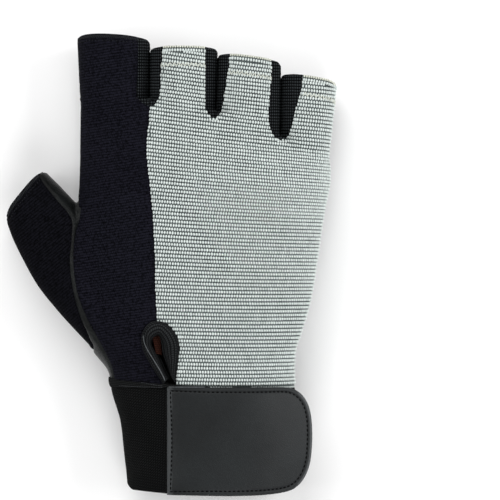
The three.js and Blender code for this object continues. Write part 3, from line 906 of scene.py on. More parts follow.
# Each finish by its kind. Colours are screen values, pitches and bumps are in mm.
knits = {
    # The cloth under the grey stitches is much darker than their thread: painted shade in the gaps between
    # them
    "greyGround": {"dark": (38, 44, 45), "light": (90, 99, 98), "row": 1.5, "stitch": 1.03,
                   "roughness": 0.9, "bump": 0.3, "shift": 0.0, "gloss": 0.06},
    "blackCloth": {"dark": (1, 1, 2), "light": (23, 23, 31), "row": 1.05, "stitch": 0.85,
                   "roughness": 0.95, "bump": 0.14, "fleck": 0.75},
    "thumbCloth": {"dark": (1, 1, 1), "light": (16, 16, 21), "row": 1.05, "stitch": 0.85,
                   "roughness": 0.95, "bump": 0.14, "gloss": 0.02, "fleck": 0.75},
    "blackRib": {"dark": (0, 0, 0), "light": (56, 60, 62), "row": 1.15, "stitch": 1.0, "roughness": 0.95,
                 "bump": 0.6, "shift": 0.0, "notch": 0.9, "gloss": 0.02, "sharp": 1.7},
    "binding": {"dark": (3, 3, 4), "light": (44, 46, 47), "row": 0.7, "stitch": 1.0, "roughness": 0.95,
                "bump": 0.3, "notch": 0.8, "sharp": 1.1},
    "seamCloth": {"dark": (1, 1, 2), "light": (30, 31, 31), "row": 0.9, "stitch": 0.8, "roughness": 0.95,
                  "bump": 0.2, "notch": 0.8},
    "lining": {"dark": (6, 7, 7), "light": (26, 28, 28), "row": 1.2, "stitch": 0.9, "roughness": 0.95,
               "bump": 0.15},
    "brownLining": {"dark": (16, 9, 6), "light": (56, 31, 24), "row": 0.8, "stitch": 0.7, "roughness": 0.95,
                    "bump": 0.2, "notch": 0.7},
    "elastic": {"dark": (0, 0, 0), "light": (23, 24, 24), "row": 0.75, "stitch": 1.4, "roughness": 0.9,
                "bump": 0.3, "turn": 0.7, "notch": 0.9},
}
leathers = {
    "leather": {"dark": (3, 4, 4), "light": (27, 30, 30), "pebble": 1400.0, "roughness": 0.4,
                "bump": 0.07, "gloss": 0.14},
    "padLeather": {"dark": (6, 8, 9), "light": (32, 37, 39), "pebble": 1500.0, "roughness": 0.38,
                   "bump": 0.05, "gloss": 0.16},
    "paleLeather": {"dark": (70, 74, 76), "light": (128, 132, 134), "pebble": 1500.0, "roughness": 0.5,
                    "bump": 0.05},
    "tabLeather": {"dark": (18, 19, 20), "light": (33, 36, 37), "pebble": 1500.0, "roughness": 0.5,
                   "bump": 0.03, "patch": 30.0, "gloss": 0.14},
}
threads = {
    # Its third colour is painted shade at the base of each stitch
    "greyThread": {"dark": (186, 196, 194), "light": (234, 241, 238), "baseShade": (40, 48, 48),
                   "roughness": 0.6, "gloss": 0.25},
    "paleThread": {"dark": (176, 178, 166), "light": (216, 218, 206), "roughness": 0.65, "gloss": 0.3},
    "hemThread": {"dark": (168, 172, 163), "light": (216, 220, 210), "roughness": 0.65, "gloss": 0.3},
    "blackThread": {"dark": (2, 2, 2), "light": (14, 14, 15), "gloss": 0.05},
    "overlockThread": {"dark": (12, 13, 14), "light": (38, 40, 43)},
    "darkThread": {"dark": (14, 15, 16), "light": (38, 40, 43)},
    "edgeThread": {"dark": (26, 27, 29), "light": (62, 65, 67)},
    "paleEdge": {"dark": (48, 51, 52), "light": (104, 108, 110)},
}
finishes = {}
for make, table in ((knitMaterial, knits), (leatherMaterial, leathers), (threadMaterial, threads)):
    for name, look in table.items():
        finishes[name] = make(name, **look)


def finishPiece(obj, finish, slot, *nodes):
    # A lined piece keeps the lining that its wall was given
    if len(obj.data.materials) == 2:
        obj.data.materials[0] = finishes[finish]
    else:
        obj.data.materials.clear()
        obj.data.materials.append(finishes[finish])
    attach(obj, "root")
    if nodes:
        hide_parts(*nodes)


# Small shapes that repeat: one template, copied to many places and joined

dome = {"shoulder": 0.3, "fuller": 1.16, "cut": -0.1}
# Shares of the pitch: how far in an end stitch sits, how clear the next one stays, and how wide a
# space takes one more
rowEnds = {"in": 0.4, "clear": 0.75, "space": (1.3, 2.2)}


def ballTemplate(segments, rings):
    bpy.ops.mesh.primitive_uv_sphere_add(segments=segments, ring_count=rings, radius=1)
    obj = bpy.context.object
    points = getPoints(obj)
    faces = [tuple(face.vertices) for face in obj.data.polygons]
    remove(obj)
    return points, faces


def domeTemplate(segments, rings):
    # A dome with flat sides towards its neighbours, and fuller shoulders than a ball has
    points, faces = ballTemplate(segments, rings)
    reach = np.hypot(points[:, 0], points[:, 1])
    turn = np.arctan2(points[:, 1], points[:, 0]) + math.pi / segments
    reach = np.where(np.abs(points[:, 2]) > dome["shoulder"], reach * dome["fuller"], reach)
    points[:, 0], points[:, 1] = reach * np.cos(turn), reach * np.sin(turn)
    kept = np.where(points[:, 2] > dome["cut"])[0]
    number = {old: new for new, old in enumerate(kept)}
    faces = [tuple(number[i] for i in face) for face in faces if all(i in number for i in face)]
    return points[kept], faces


def scatter(name, shape, places, along, up, sizes):
    # places, along and up are arrays of points and directions; sizes gives length, width, height
    points, faces = shape
    side = np.cross(up, along)
    side /= np.linalg.norm(side, axis=1)[:, None]
    along = np.cross(side, up)
    frames = np.stack([along, side, up], 1)
    scaled = points[None, :, :] * sizes[:, None, :]
    allPoints = (scaled @ frames + places[:, None, :]).reshape(-1, 3)
    count = len(points)
    allFaces = [tuple(i + k * count for i in face) for k in range(len(places)) for face in faces]
    mesh = bpy.data.meshes.new(name)
    mesh.from_pydata(allPoints.tolist(), [], allFaces)
    # Each point's height share on the stitch, which a thread can use to paint shade at the stitch's base
    givePointValues(mesh, "raised", np.tile(np.clip(points[:, 2], 0, 1), len(places)))
    obj = bpy.data.objects.new(name, mesh)
    bpy.context.collection.objects.link(obj)
    smoothShade(obj)
    return obj


def linedUp(start, total, pitch, phase):
    # Places that line up with those of the next path, with one at each end
    inner = np.arange((phase - start + centreX) % pitch, total, pitch)
    first, last = rowEnds["in"] * pitch, total - rowEnds["in"] * pitch
    clear = rowEnds["clear"] * pitch
    inner = inner[(inner > first + clear) & (inner < last - clear)]
    at = [first, *inner, last]
    least, most = rowEnds["space"]
    for a, b in ((at[0], at[1]), (at[-2], at[-1])):
        if least * pitch < b - a < most * pitch:
            at.append((a + b) / 2)
    return np.sort(at)


def walk(path, normals, pitch, phase=None):
    # Evenly spaced places along a path, each with its direction and normal
    path = np.asarray(path)
    length = lengthAlong(path)
    total = length[-1]
    count = int(total / pitch)
    if count < 1:
        return [np.zeros((0, 3))] * 3
    if phase is None:
        at = (np.arange(count) + 0.5) * (total / count)
    else:
        at = linedUp(path[0][0], total, pitch, phase)
    along = valuesAt(at + 0.2 * mm, length, path) - valuesAt(at - 0.2 * mm, length, path)
    along /= np.maximum(np.linalg.norm(along, axis=1), 1e-9)[:, None]
    up = valuesAt(at, length, normals)
    up /= np.linalg.norm(up, axis=1)[:, None]
    return valuesAt(at, length, path), along, up


def joined(parts):
    return [np.concatenate(part) for part in zip(*parts)]


def slanted(got, angles, rise):
    # Turns each place's direction over the surface, and lifts it
    places, along, up = got
    side = np.cross(up, along)
    turned = along * np.cos(angles)[:, None] + side * np.sin(angles)[:, None]
    return places + up * rise, turned, up


def sewRow(name, rows, pitch, size, finish, slot, angles=(0,), rise=0.02):
    # Stitches along traced paths, each turned by the next of the angles. Lengths are in mm.
    parts = []
    for points, normals in rows:
        got = walk(points, normals, pitch * mm)
        turn = np.radians([angles[i % len(angles)] for i in range(len(got[0]))])
        parts.append(slanted(got, turn, rise * mm))
    places, alongs, ups = joined(parts)
    sizes = np.tile(np.array(size) * mm, (len(places), 1))
    obj = scatter(name, ballTemplate(6, 6), places, alongs, ups, sizes)
    finishPiece(obj, finish, slot)


def makeCord(name, points, normals, radius, finish, slot):
    # A thin round cord or piped edge laid along a traced path. Its radius is in mm.
    places, along, up = walk(points, normals, 0.5 * mm)
    side = np.cross(along, up)
    rows = len(places) - 1

    def place(u, v):
        i = np.rint(v * rows).astype(int)
        angle = 2 * math.pi * u
        reach = np.where((i == 0) | (i == rows), 0.3, 1.0) * (radius * mm)
        across, high = reach * np.cos(angle), reach * np.sin(angle)
        return places[i] + across[:, None] * side[i] + high[:, None] * up[i]
    obj = closedTube(name, 8, rows, place)
    smoothShade(obj)
    finishPiece(obj, finish, slot)


# Back panel: grey ribbed weave, each row a string of rounded stitches

weave = {
    "row": 1.5 * mm,
    "stitch": 1.03 * mm,
    "rise": 0.58 * mm,
    "step": 0.3 * mm,
    "stitchSize": [0.51, 0.735, 1.0],
    "first": 0.6 * mm,
    "reach": 1.12,
    "brickBelow": 0.62,
    "left": 26 * mm,
    "right": 55 * mm,
    "least": 0.12,
    "sideLeast": 0.15,
    "sunk": 0.02 * mm,
    "frontRise": 0.12 * mm,
    "lowest": 4 * mm,
    "widest": 12 * mm,
    "seed": 7,
    "sizeSpread": 0.05,
    "riseSpread": 0.1,
}
# The rows dip towards the little finger by these mm, at these shares of the hand's length
rowDip = {"at": [0, 0.25, 0.5, 0.72, 1], "mm": [0, 0.8, 3.6, 8.6, 9.4], "bow": 0.6 * mm,
          "from": 22 * mm, "wide": 72 * mm}
stalls = {"middle": (-0.192, 0.016), "ring": (0.092, 0.276), "little": (0.386, 0.53)}
hemRows = {"clear": 2.3 * mm, "front": 1.75 * mm, "lip": 0.4 * mm, "zigzag": 7.4 * mm}
# Where the cloth dips at the foot of a gap, and the stitches that it gets there
gapFeet = {"places": ((0.030, 0.760), (0.300, 0.698)), "half": 0.02, "below": 0.0062, "rise": 0.35 * mm}


def rowY(w, x):
    share = np.clip((x - centreX + rowDip["from"]) / rowDip["wide"], -0.1, 1.2)
    dip = np.interp(np.clip(w / hand["length"], 0, 1), rowDip["at"], rowDip["mm"]) * mm
    return float(handStart + w - dip * share - rowDip["bow"] * np.sin(math.pi * np.clip(share, 0, 1)))


def rowDownSide(tree, w, x, top):
    # The end of a row, which runs on down the little finger's side of the hand
    side = []
    for z in np.arange(top - weave["step"], weave["lowest"], -weave["step"]):
        start = (centreX + rays["outside"], rowY(w, x + 2 * mm), z)
        hit, normal = castRay(tree, start, (-1, 0, 0))
        if hit is not None and normal.x > weave["sideLeast"] and abs(hit.x - x) < weave["widest"]:
            side.append((tuple(hit), tuple(normal)))
    return side


def rowPaths(tree, w):
    paths, path, lastZ = [], [], None
    for x in np.arange(centreX - weave["left"], centreX + weave["right"], weave["step"]):
        hit, normal = castDown(tree, x, rowY(w, x))
        if hit is not None and normal.z > weave["least"]:
            path.append((tuple(hit), tuple(normal)))
            lastZ = hit.z
        elif path:
            paths.append(path)
            path = []
    if path:
        paths.append(path)
    if paths:
        end = paths[-1][-1][0]
        side = rowDownSide(tree, w, end[0], lastZ)
        if side and np.linalg.norm(np.subtract(side[0][0], end)) < 4 * mm:
            paths[-1] = paths[-1] + side
    return [[*zip(*p)] for p in paths if len(p) > 6]


def hemPath(finger, left, right, behind, tree):
    # A line across a finger, a steady distance behind its hem
    plan = []
    for x in centreX + np.linspace(left, right, 80) * hand["palmWidth"]:
        z = finger["tops"][1] * hand["depth"]
        for _ in range(3):
            y = hemY(finger, x, z) - behind
            hit, _ = castDown(tree, x, y)
            z = hit.z if hit is not None else z * 0.8
        plan.append((x, y))
    return plan


def traceHem(tree, name, behind):
    # The same line laid on the cloth, and carried down the little finger's outer side
    finger = fingers[name]
    points, normals = trace(tree, hemPath(finger, *stalls[name], behind, tree))
    if name == "little":
        x = points[-1][0]
        for z in np.arange(points[-1][2], 5 * mm, -0.4 * mm):
            start = (rays["farOutside"], hemY(finger, x, z) - behind, z)
            hit, normal = castRay(tree, start, (-1, 0, 0))
            if hit is not None and normal.x > rays["least"]:
                points.append(tuple(hit))
                normals.append(tuple(normal))
    return points, normals


def placeStitches(tree):
    parts = []
    for i, w in enumerate(np.arange(weave["first"], hand["length"] * weave["reach"], weave["row"])):
        brick = 0.5 * (i % 2) if w < weave["brickBelow"] * hand["length"] else 0
        phase = (0.2 * math.sin(1.7 * i) + brick) * weave["stitch"]
        for points, normals in rowPaths(tree, w):
            parts.append(walk(points, normals, weave["stitch"], phase))
    places, alongs, ups = joined(parts)
    kept = places[:, 1] < handStart + zones["knuckles"] * hand["length"]
    kept |= hemDistance(places) > hemRows["clear"]
    parts = [(places[kept], alongs[kept], ups[kept])]
    for name in stalls:
        places, alongs, ups = walk(*traceHem(tree, name, hemRows["front"]), weave["stitch"], 0)
        parts.append((places + ups * weave["frontRise"], alongs, ups))
    for x, y in gapFeet["places"]:
        across = np.linspace(x - gapFeet["half"], x + gapFeet["half"], 24)
        plan = np.stack(onHand(across, np.full(24, y - gapFeet["below"])), 1)
        places, alongs, ups = walk(*trace(tree, plan), weave["stitch"])
        parts.append((places + np.array([0, 0, gapFeet["rise"]]), alongs, ups))
    return joined(parts)


def makeWeave(tree):
    places, alongs, ups = placeStitches(tree)
    random = np.random.default_rng(weave["seed"])
    jitter = random.normal(0, 1, (len(places), 4))
    sizes = np.array(weave["stitchSize"]) * mm * (1 + weave["sizeSpread"] * jitter[:, :3])
    sizes[:, 2] = weave["rise"] * (1 + weave["riseSpread"] * jitter[:, 2])
    places = places + ups * (weave["sunk"] * jitter[:, 3:]) - ups * weave["sunk"]
    print("  stitches", len(places))
    return scatter("back_weave", domeTemplate(6, 4), places, alongs, ups, sizes)


def backUV(points):
    return points[:, 0] - points[:, 2] * (points[:, 0] > centreX + 30 * mm), points[:, 1]


print("stage: back panel")
back = panels["back_panel"]
turnEdges(back, edges["back_panel"])
backTree = treeOf(back)
finishPiece(makeWeave(backTree), "greyThread", "grey_knit")
sewRow("hem_lips", [traceHem(backTree, name, hemRows["lip"]) for name in stalls],
       0.9, (0.42, 0.62, 0.42), "paleThread", "grey_knit", rise=0.12)
sewRow("hem_zigzags", [traceHem(backTree, name, hemRows["zigzag"]) for name in stalls],
       0.8, (1.15, 0.2, 0.2), "hemThread", "grey_knit", (62, -62), 0.46)
giveUV(back, backUV)
giveWall(back, edges["back_panel"]["wall"] * mm, True)
finishPiece(back, "greyGround", "grey_knit", "back_panel")


# Side panel and thumb: black stretch cloth

def thumbUV(points):
    turn = math.radians(40)
    x, y = points[:, 0], points[:, 1]
    return x * math.cos(turn) + y * math.sin(turn), y * math.cos(turn) - x * math.sin(turn)


def thumbHemPath(behind):
    line, ahead = thumbHemLine()
    line = np.array(line)[3:-3] - ahead * behind
    return [tuple(p) for p in np.concatenate([np.linspace(a, b, 4)[:-1] for a, b in zip(line, line[1:])])]


hemThreads = (
    {"name": "overlock", "behind": 1.0, "pitch": 0.72, "size": (0.9, 0.2, 0.18), "angles": (62,),
     "finish": "overlockThread"},
    {"name": "flecks", "behind": 2.6, "pitch": 1.3, "size": (0.34, 0.14, 0.14), "angles": (0, 20),
     "finish": "darkThread"},
)

print("stage: black cloth")
for name, uvOf, cloth in (("side_panel", plainUV, "blackCloth"), ("thumb_back", thumbUV, "thumbCloth")):
    turnEdges(panels[name], edges[name])
    tree = treeOf(panels[name])
    for row in hemThreads:
        behind = row["behind"] * mm
        if name == "side_panel":
            plan = hemPath(fingers["index"], -0.508, -0.268, behind, tree)
        else:
            plan = thumbHemPath(behind)
        sewRow(name + "_" + row["name"], [trace(tree, plan)], row["pitch"], row["size"], row["finish"],
               "black_cloth", row["angles"])
    giveUV(panels[name], uvOf)
    giveWall(panels[name], edges[name]["wall"] * mm, True)
    finishPiece(panels[name], cloth, "black_cloth", name)


# Finger walls: ribbed knit

swelling = {"more": 0.55 * mm, "reach": 3.6 * mm, "fade": 2 * mm, "seamFade": 1.8 * mm, "overlap": 0.05 * mm}


def fingerSide(finger, side, y):
    start = finger["start"] * hand["length"]
    share = (y - handStart - start) / (finger["ends"][side] * hand["length"] - start)
    return centreX + mix(finger["root"][side], finger["hem"][side], share) * hand["palmWidth"]


def fromGap(points, leftFinger, rightFinger):
    # How far points lie to either side of the middle of a gap, and half the gap's width
    leftSide = fingerSide(leftFinger, 1, points[:, 1])
    rightSide = fingerSide(rightFinger, 0, points[:, 1])
    return points[:, 0] - (leftSide + rightSide) / 2, (rightSide - leftSide) / 2


def closeGap(obj, leftFinger, rightFinger):
    # The two walls swell until they just overlap, as padded knit does
    points = getPoints(obj)
    away, half = fromGap(points, leftFinger, rightFinger)
    fromSeam = nearestDistance(points[seamOf(obj, points)], points)
    room = np.maximum(half + swelling["more"], 0)
    near = np.clip((swelling["reach"] - np.abs(away)) / swelling["fade"], 0, 1)
    near *= np.clip(fromSeam / swelling["seamFade"] - 0.3, 0, 1)
    points[:, 0] -= np.sign(away) * np.minimum(room * near, np.abs(away) + swelling["overlap"])
    setPoints(obj, points)


print("stage: finger walls")
for gap in gaps:
    name = "fourchette_" + gap
    wall = panels[name]
    beside = [fingers[side] for side in gap.split("_")]
    closeGap(wall, *beside)
    turnEdges(wall, edges["fourchette"])
    giveUV(wall, lambda points: (points[:, 0] + 0.2 * points[:, 2] * np.sign(fromGap(points, *beside)[0]),
                                 points[:, 1]))
    giveWall(wall, edges["fourchette"]["wall"] * mm)
    finishPiece(wall, "blackRib", "black_rib", name)


# Palm leather

creases = (
    # Each zone of folds: where it lies in shares, its reach, the folds' size and turn, and their depth
    {"at": (0.0, 0.775), "reach": (0.62, 0.095), "size": (8, 3.0), "turn": -12, "depth": 1.35},
    {"at": (0.17, 0.80), "reach": (0.16, 0.12), "size": (5, 2.6), "turn": 35, "depth": 0.9},
    {"at": (-0.40, 0.80), "reach": (0.13, 0.10), "size": (7, 3), "turn": 20, "depth": 0.6},
    {"at": (0.10, 0.06), "reach": (0.42, 0.14), "size": (34, 9.0), "turn": 58, "depth": 1.0},
    {"at": (-0.40, 0.30), "reach": (0.18, 0.17), "size": (22, 6.0), "turn": 48, "depth": 1.1},
    {"at": (-0.62, 0.45), "reach": (0.14, 0.12), "size": (12, 4.5), "turn": -35, "depth": 0.6},
)
# The folds' own form: how they wander, how sharp they are, and the finer folds among them
folds = {"wander": 0.9, "wanderSize": 11, "sharp": 2.4, "finer": 2.3, "fine": 0.25, "fade": 0.6}
leatherHems = {"index": (-0.50, -0.27), "middle": (-0.17, -0.005), "ring": (0.105, 0.255),
               "little": (0.385, 0.5)}


def creaseLeather(obj):
    # Soft folds pressed into the leather where the hand bends
    points, normals = getPoints(obj), getNormals(obj)
    x = (points[:, 0] - centreX) / hand["palmWidth"]
    y = (points[:, 1] - handStart) / hand["length"]
    drop = np.zeros(len(points))
    for number, zone in enumerate(creases):
        away = ((x - zone["at"][0]) / zone["reach"][0]) ** 2 + ((y - zone["at"][1]) / zone["reach"][1]) ** 2
        turn = math.radians(zone["turn"])
        for i in np.where((away < 1) & (normals[:, 2] < 0.2))[0]:
            px, py = points[i, 0] / mm, points[i, 1] / mm
            a = (px * math.cos(turn) + py * math.sin(turn)) / zone["size"][0]
            b = (py * math.cos(turn) - px * math.sin(turn)) / zone["size"][1]
            place = px / folds["wanderSize"], py / folds["wanderSize"], number + 3
            warp = folds["wander"] * noise.noise(place)
            ridge = 1 - abs(noise.noise((a, b + warp, number * 5))) * folds["sharp"]
            fine = noise.noise((a * folds["finer"], b * folds["finer"] + warp, number + 9))
            fold = max(ridge, 0) ** 2 + folds["fine"] * fine
            drop[i] += zone["depth"] * (1 - away[i]) ** folds["fade"] * fold * mm
    pushIn(obj, points, normals, drop)


def fingerHemUnder(finger, left, right, behind):
    x = centreX + np.linspace(left, right, 60) * hand["palmWidth"]
    return list(zip(x, hemY(finger, x, hand["padLift"] + hand["fingerLift"]) - behind))


print("stage: palm leather")
leather = panels["palm_leather"]
turnEdges(leather, edges["palm_leather"])
creaseLeather(leather)
leatherTree = treeOf(leather)
hemPlans = [fingerHemUnder(fingers[name], *span, 1.5 * mm) for name, span in leatherHems.items()]
hemPlans.append(thumbHemPath(1.6 * mm))
sewRow("leather_hem_stitches", [trace(leatherTree, plan, True) for plan in hemPlans],
       1.7, (0.6, 0.24, 0.2), "blackThread", "black_leather", rise=0.03)
giveWall(leather, edges["palm_leather"]["wall"] * mm)
finishPiece(leather, "leather", "black_leather", "palm_leather")


# Palm pad: leather over padding, sewn across its top and along its lower curve

pad = {
    "rise": 2.7 * mm,
    "rim": 9 * mm,
    "thin": 0.3 * mm,
    "topEdge": 0.6715,
    "topSpan": (-0.47, 0.49),
    # Height of the padding (mm) at distances (mm) from the top edge, the lower curve and the sides
    "top": [(0, 0.5), (0.8, 0.95), (1.8, 0.7), (3.6, 1.55), (5.3, 0.95), (7.6, 2.1), (9.9, 1.25),
            (13.5, 2.7)],
    "low": [(0, 0.5), (0.9, 1.0), (2.0, 0.95), (3.0, 0.75), (3.9, 1.0), (4.9, 0.8), (8.5, 2.45), (12.2, 1.3),
            (16, 2.7)],
    "side": [(0, 0.5), (1.5, 1.8), (4, 2.7)],
    "topRows": [1.8, 5.3, 9.9],
    "lowRows": [3.0, 4.9, 12.2],
    "pipe": 0.5 * mm,
}


def profileAt(table, away):
    # A smooth curve through a profile's points
    spots, heights = np.array(table).T * mm
    at = np.clip(np.searchsorted(spots, away) - 1, 0, len(spots) - 2)
    t = np.clip((away - spots[at]) / (spots[at + 1] - spots[at]), 0, 1)
    return mix(heights[at], heights[at + 1], t * t * (3 - 2 * t))


def padLines():
    # The pad's lower curve in plan, and its direction into the pad
    table = planLines["padOutline"][8:20]
    curve = smoothPlan(table, 12 * (len(table) - 1) + 1)
    ahead = np.gradient(curve, axis=0)
    inward = np.stack([ahead[:, 1], -ahead[:, 0]], 1)
    return curve, inward / np.linalg.norm(inward, axis=1)[:, None]


def makePad(curve):
    cutters.clear()
    cutters["pad"] = prismCutter("padPlan", smoothLine("padOutline", 3), cutting["low"], pad["rim"])
    obj = cutPanel("pad_cover", ["pad"])
    remove(cutters["pad"])
    points, normals = getPoints(obj), getNormals(obj)
    fromTop = np.maximum(handStart + pad["topEdge"] * hand["length"] - points[:, 1], 0)
    fromSide = nearestDistance(points[borderOf(obj)], points)
    rise = np.minimum(profileAt(pad["top"], fromTop), profileAt(pad["low"], planDistance(curve, points)))
    rise = np.minimum(rise, profileAt(pad["side"], fromSide))
    pushIn(obj, points, normals, -rise)
    tree = treeOf(obj)
    wall = pad["rise"] - pad["thin"]
    group = obj.vertex_groups.new(name="thickness")
    for i, value in enumerate((rise - pad["thin"]) / wall):
        group.add([i], float(value), "REPLACE")
    giveWall(obj, wall, vertex_group="thickness")
    return obj, tree


print("stage: palm pad")
padCurve, padInward = padLines()
palmPad, padTree = makePad(padCurve)
finishPiece(palmPad, "padLeather", "padded_leather", "palm_pad")
topX, topY = onHand(np.linspace(*pad["topSpan"], 200), np.full(200, pad["topEdge"]))
padPlans = [list(zip(topX, topY - behind * mm)) for behind in pad["topRows"]]
padPlans += [padCurve + padInward * behind * mm for behind in pad["lowRows"]]
sewRow("pad_stitches", [trace(padTree, plan, True) for plan in padPlans],
       1.7, (0.58, 0.24, 0.2), "blackThread", "padded_leather")
makeCord("pad_piping", *trace(padTree, padCurve + padInward * pad["pipe"], True), 0.32, "paleLeather",
         "padded_leather")


# Wrist band: elastic with a slit under the tab

# The band's lower edge slopes down towards the tab from a rounded corner at the thumb side, and
# fades out again. Lengths are in mm from the corner.
bandEdge = {"corner": 0.313, "slope": 0.09, "from": 1.5, "long": 17, "end": 50, "fade": 15,
            "cornerRise": 2.4, "cornerLong": 2.6}
elastic = {"around": 280, "along": 60, "slitHalf": 0.8 * mm, "wall": 1.8 * mm}


def bandSection(v):
    return sectionAt(bandSections, np.interp(v, bandSections["y"], [0, 1, 2, 3]))


def placeBand(u, v):
    left, right, top = bandSection(v)
    x, z = sectionPoint(u, left, right, 0, top, sectionForm["sag"], sectionForm["handPowers"], 0)
    along = (x + bandEdge["corner"] * hand["palmWidth"]) / mm
    down = bandEdge["slope"] * np.clip(along - bandEdge["from"], 0, bandEdge["long"])
    down *= np.clip((bandEdge["end"] - along) / bandEdge["fade"], 0, 1)
    edge = bandEdge["cornerRise"] * np.clip(1 - along / bandEdge["cornerLong"], 0, 1) ** 2 - down
    y = bandLow + v * hand["bandWidth"] + edge * mm * (1 - v) ** 3
    return np.stack([centreX + x, y, z], axis=1)


def slitEnds(heights):
    # The shares round the band at which the straight slit ends and starts, at each height
    samples = np.linspace(0, 0.5, 400)
    slit = centreX + hand["slit"] * hand["palmWidth"]
    ends = []
    for height in heights:
        across = placeBand(samples, np.full(400, height))[:, 0]
        ends.append([np.interp(-(slit + side * elastic["slitHalf"]), -across, samples) for side in (-1, 1)])
    return np.array(ends) + (0, 1)


def makeBand():
    heights = np.linspace(0, 1, 62)
    ends = slitEnds(heights)

    def place(u, v):
        first, last = np.interp(v, heights, ends[:, 0]), np.interp(v, heights, ends[:, 1])
        return placeBand(mix(first, last, u), v)
    obj = grid("wrist_elastic", elastic["around"], elastic["along"], place)
    around = np.linspace(0, 1, 500)
    length = lengthAlong(place(around, np.full(500, 0.5)))
    rows = elastic["along"] + 1
    columns = np.linspace(0, 1, len(obj.data.vertices) // rows)
    u = np.tile(np.interp(columns, around, length), rows)
    giveUV(obj, lambda points: (u, points[:, 1]))
    editMesh(obj, evenNormals)
    giveWall(obj, elastic["wall"])
    return obj


print("stage: wrist band")
finishPiece(makeBand(), "elastic", "elastic", "wrist_band")


# Seam allowance: a dark sewn strip that shows between the side panel and the band

wristSeam = {"span": (0.24, 0.56), "narrow": 0.6 * mm, "wide": 4.1 * mm, "proud": 0.8 * mm,
             "flat": 0.25 * mm, "flare": 0.35 * mm, "tuck": 0.15 * mm, "off": 0.1 * mm,
             "wall": 0.5 * mm, "core": 0.45}
seamRows = {
    "wrist_seam_top": [(-0.352, 0.0265), (-0.30, 0.022), (-0.24, 0.0125), (-0.17, 0.005)],
    "wrist_seam_low": [(-0.345, 0.0045), (-0.17, 0.001)],
}


def placeSeam(u, v):
    y = np.interp(u, [0, 0.8], [wristSeam["narrow"], wristSeam["wide"]]) * v - wristSeam["tuck"]
    at = y / (handSections["y"][1] * hand["length"]) / (len(handSections["y"]) - 1)
    here = placeHand(mix(*wristSeam["span"], u), np.maximum(at, 1e-4))
    out = (here - (centreX, 0, hand["depth"] * wristSeam["core"])) * (1, 0, 1)
    out /= np.linalg.norm(out, axis=1)[:, None]
    most = np.interp(u, [0.6, 1], [wristSeam["proud"], wristSeam["flat"]])
    lift = most * np.sin(math.pi * np.clip(v, 0, 1)) ** 0.6 + wristSeam["flare"] * v
    here[:, 1] = handStart + y
    return here + out * (lift + wristSeam["off"])[:, None]


def openSheet(name, across, along, place, wall):
    obj = grid(name, across, along, place)
    editMesh(obj, evenNormals)
    giveUV(obj, plainUV)
    faceUp(obj)
    giveWall(obj, wall)
    return obj


print("stage: wrist seam")
seam = openSheet("wrist_seam", 160, 12, placeSeam, wristSeam["wall"])
finishPiece(seam, "seamCloth", "black_cloth")
seamTree = treeOf(seam)
for name, table in seamRows.items():
    sewRow(name, [trace(seamTree, smoothPlan(table, 80))], 0.95, (0.5, 0.13, 0.12), "edgeThread",
           "black_cloth")


# Closure tab

tab = {
    "thickness": 2.2 * mm,
    "gap": 0.3 * mm,
    "round": 0.9 * mm,
    "stitchIn": 1.9 * mm,
    "stitchSunk": 0.12 * mm,
    "spineEnd": 21 * mm,
    "groove": (0.3 * mm, 0.32 * mm),
    "welt": (0.22 * mm, 1.1 * mm, 0.45 * mm),
    "swell": (0.15 * mm, 4 * mm),
    "sewnDown": (1.0 * mm, 5 * mm),
    "rings": [0, 0.12, 0.3, 0.55, 0.9, 1.3, 1.6, 1.8, 2.0, 2.3, 2.8, 3.6, 4.8, 6.5, 8.5, 11, 14, 17],
    "paleSewn": (2.0 * mm, 0.15 * mm, 0.42),
    # A painted highlight along the rim of the rounded end, and painted light that grows towards the free end
    "rimHighlight": (0.5 * mm, 0.3 * mm, 0.6),
    "paintedLightAlong": 0.11,
    # The light thread along the top edge: its run in mm from the sewn end, and its height
    "thread": (0.2, 15),
    "threadUp": 1.75 * mm,
}
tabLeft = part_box("closure_tab")[0][0]
tabHigh = bandLow + hand["tabTop"]
# The band's back runs on straight past this share of its half width
bandBack = {"from": 0.72, "power": 2.2}


def bandHeight(x, y):
    # Height of the band's back and its slope
    left, right, top = bandSection((y - bandLow) / hand["bandWidth"])
    power = bandBack["power"]
    half, middle, rise = (right - left) / 2, (right + left) / 2, top * (1 - sectionForm["waist"])
    share = (x - centreX - middle) / half
    bent = np.minimum(np.abs(share), bandBack["from"])
    inside = 1 - bent ** power
    slope = rise / half * bent ** (power - 1) * inside ** (1 / power - 1)
    height = top - rise + rise * inside ** (1 / power) - slope * (np.abs(share) - bent) * half
    return height, slope * np.sign(share)


def overBand(plan, up):
    # Points lifted off the band, square to its slope, and let down towards the tab's sewn end
    height, slope = bandHeight(plan[:, 0], plan[:, 1])
    drop, reach = tab["sewnDown"]
    lowered = drop * np.clip(1 - (plan[:, 0] - tabLeft) / reach, 0, 1) ** 2
    up = tab["gap"] + up - lowered
    return np.column_stack([plan, height + up * np.hypot(1, slope)]), slope


def tabLine():
    table = np.array(tabOutline)
    curve = table[1:14]
    at = np.linspace(0, len(curve) - 1, 150)
    curved = np.stack([smoothAt(curve[:, 0], at), smoothAt(curve[:, 1], at)], 1)
    top = np.linspace(table[0], curve[0], 40)[:-1]
    bottom = np.linspace(curve[-1], table[-1], 24)[1:]
    end = np.linspace(table[-1], table[0], 40)[1:-1]
    line = np.concatenate([top, curved, bottom, end])
    x = tabLeft + line[:, 0] * hand["tabLength"]
    return np.stack([x, tabHigh - hand["tabWidth"] * (1 - line[:, 1])], 1)


def hill(depth, most, at, wide):
    return most * np.exp(-((depth - at) / wide) ** 2)


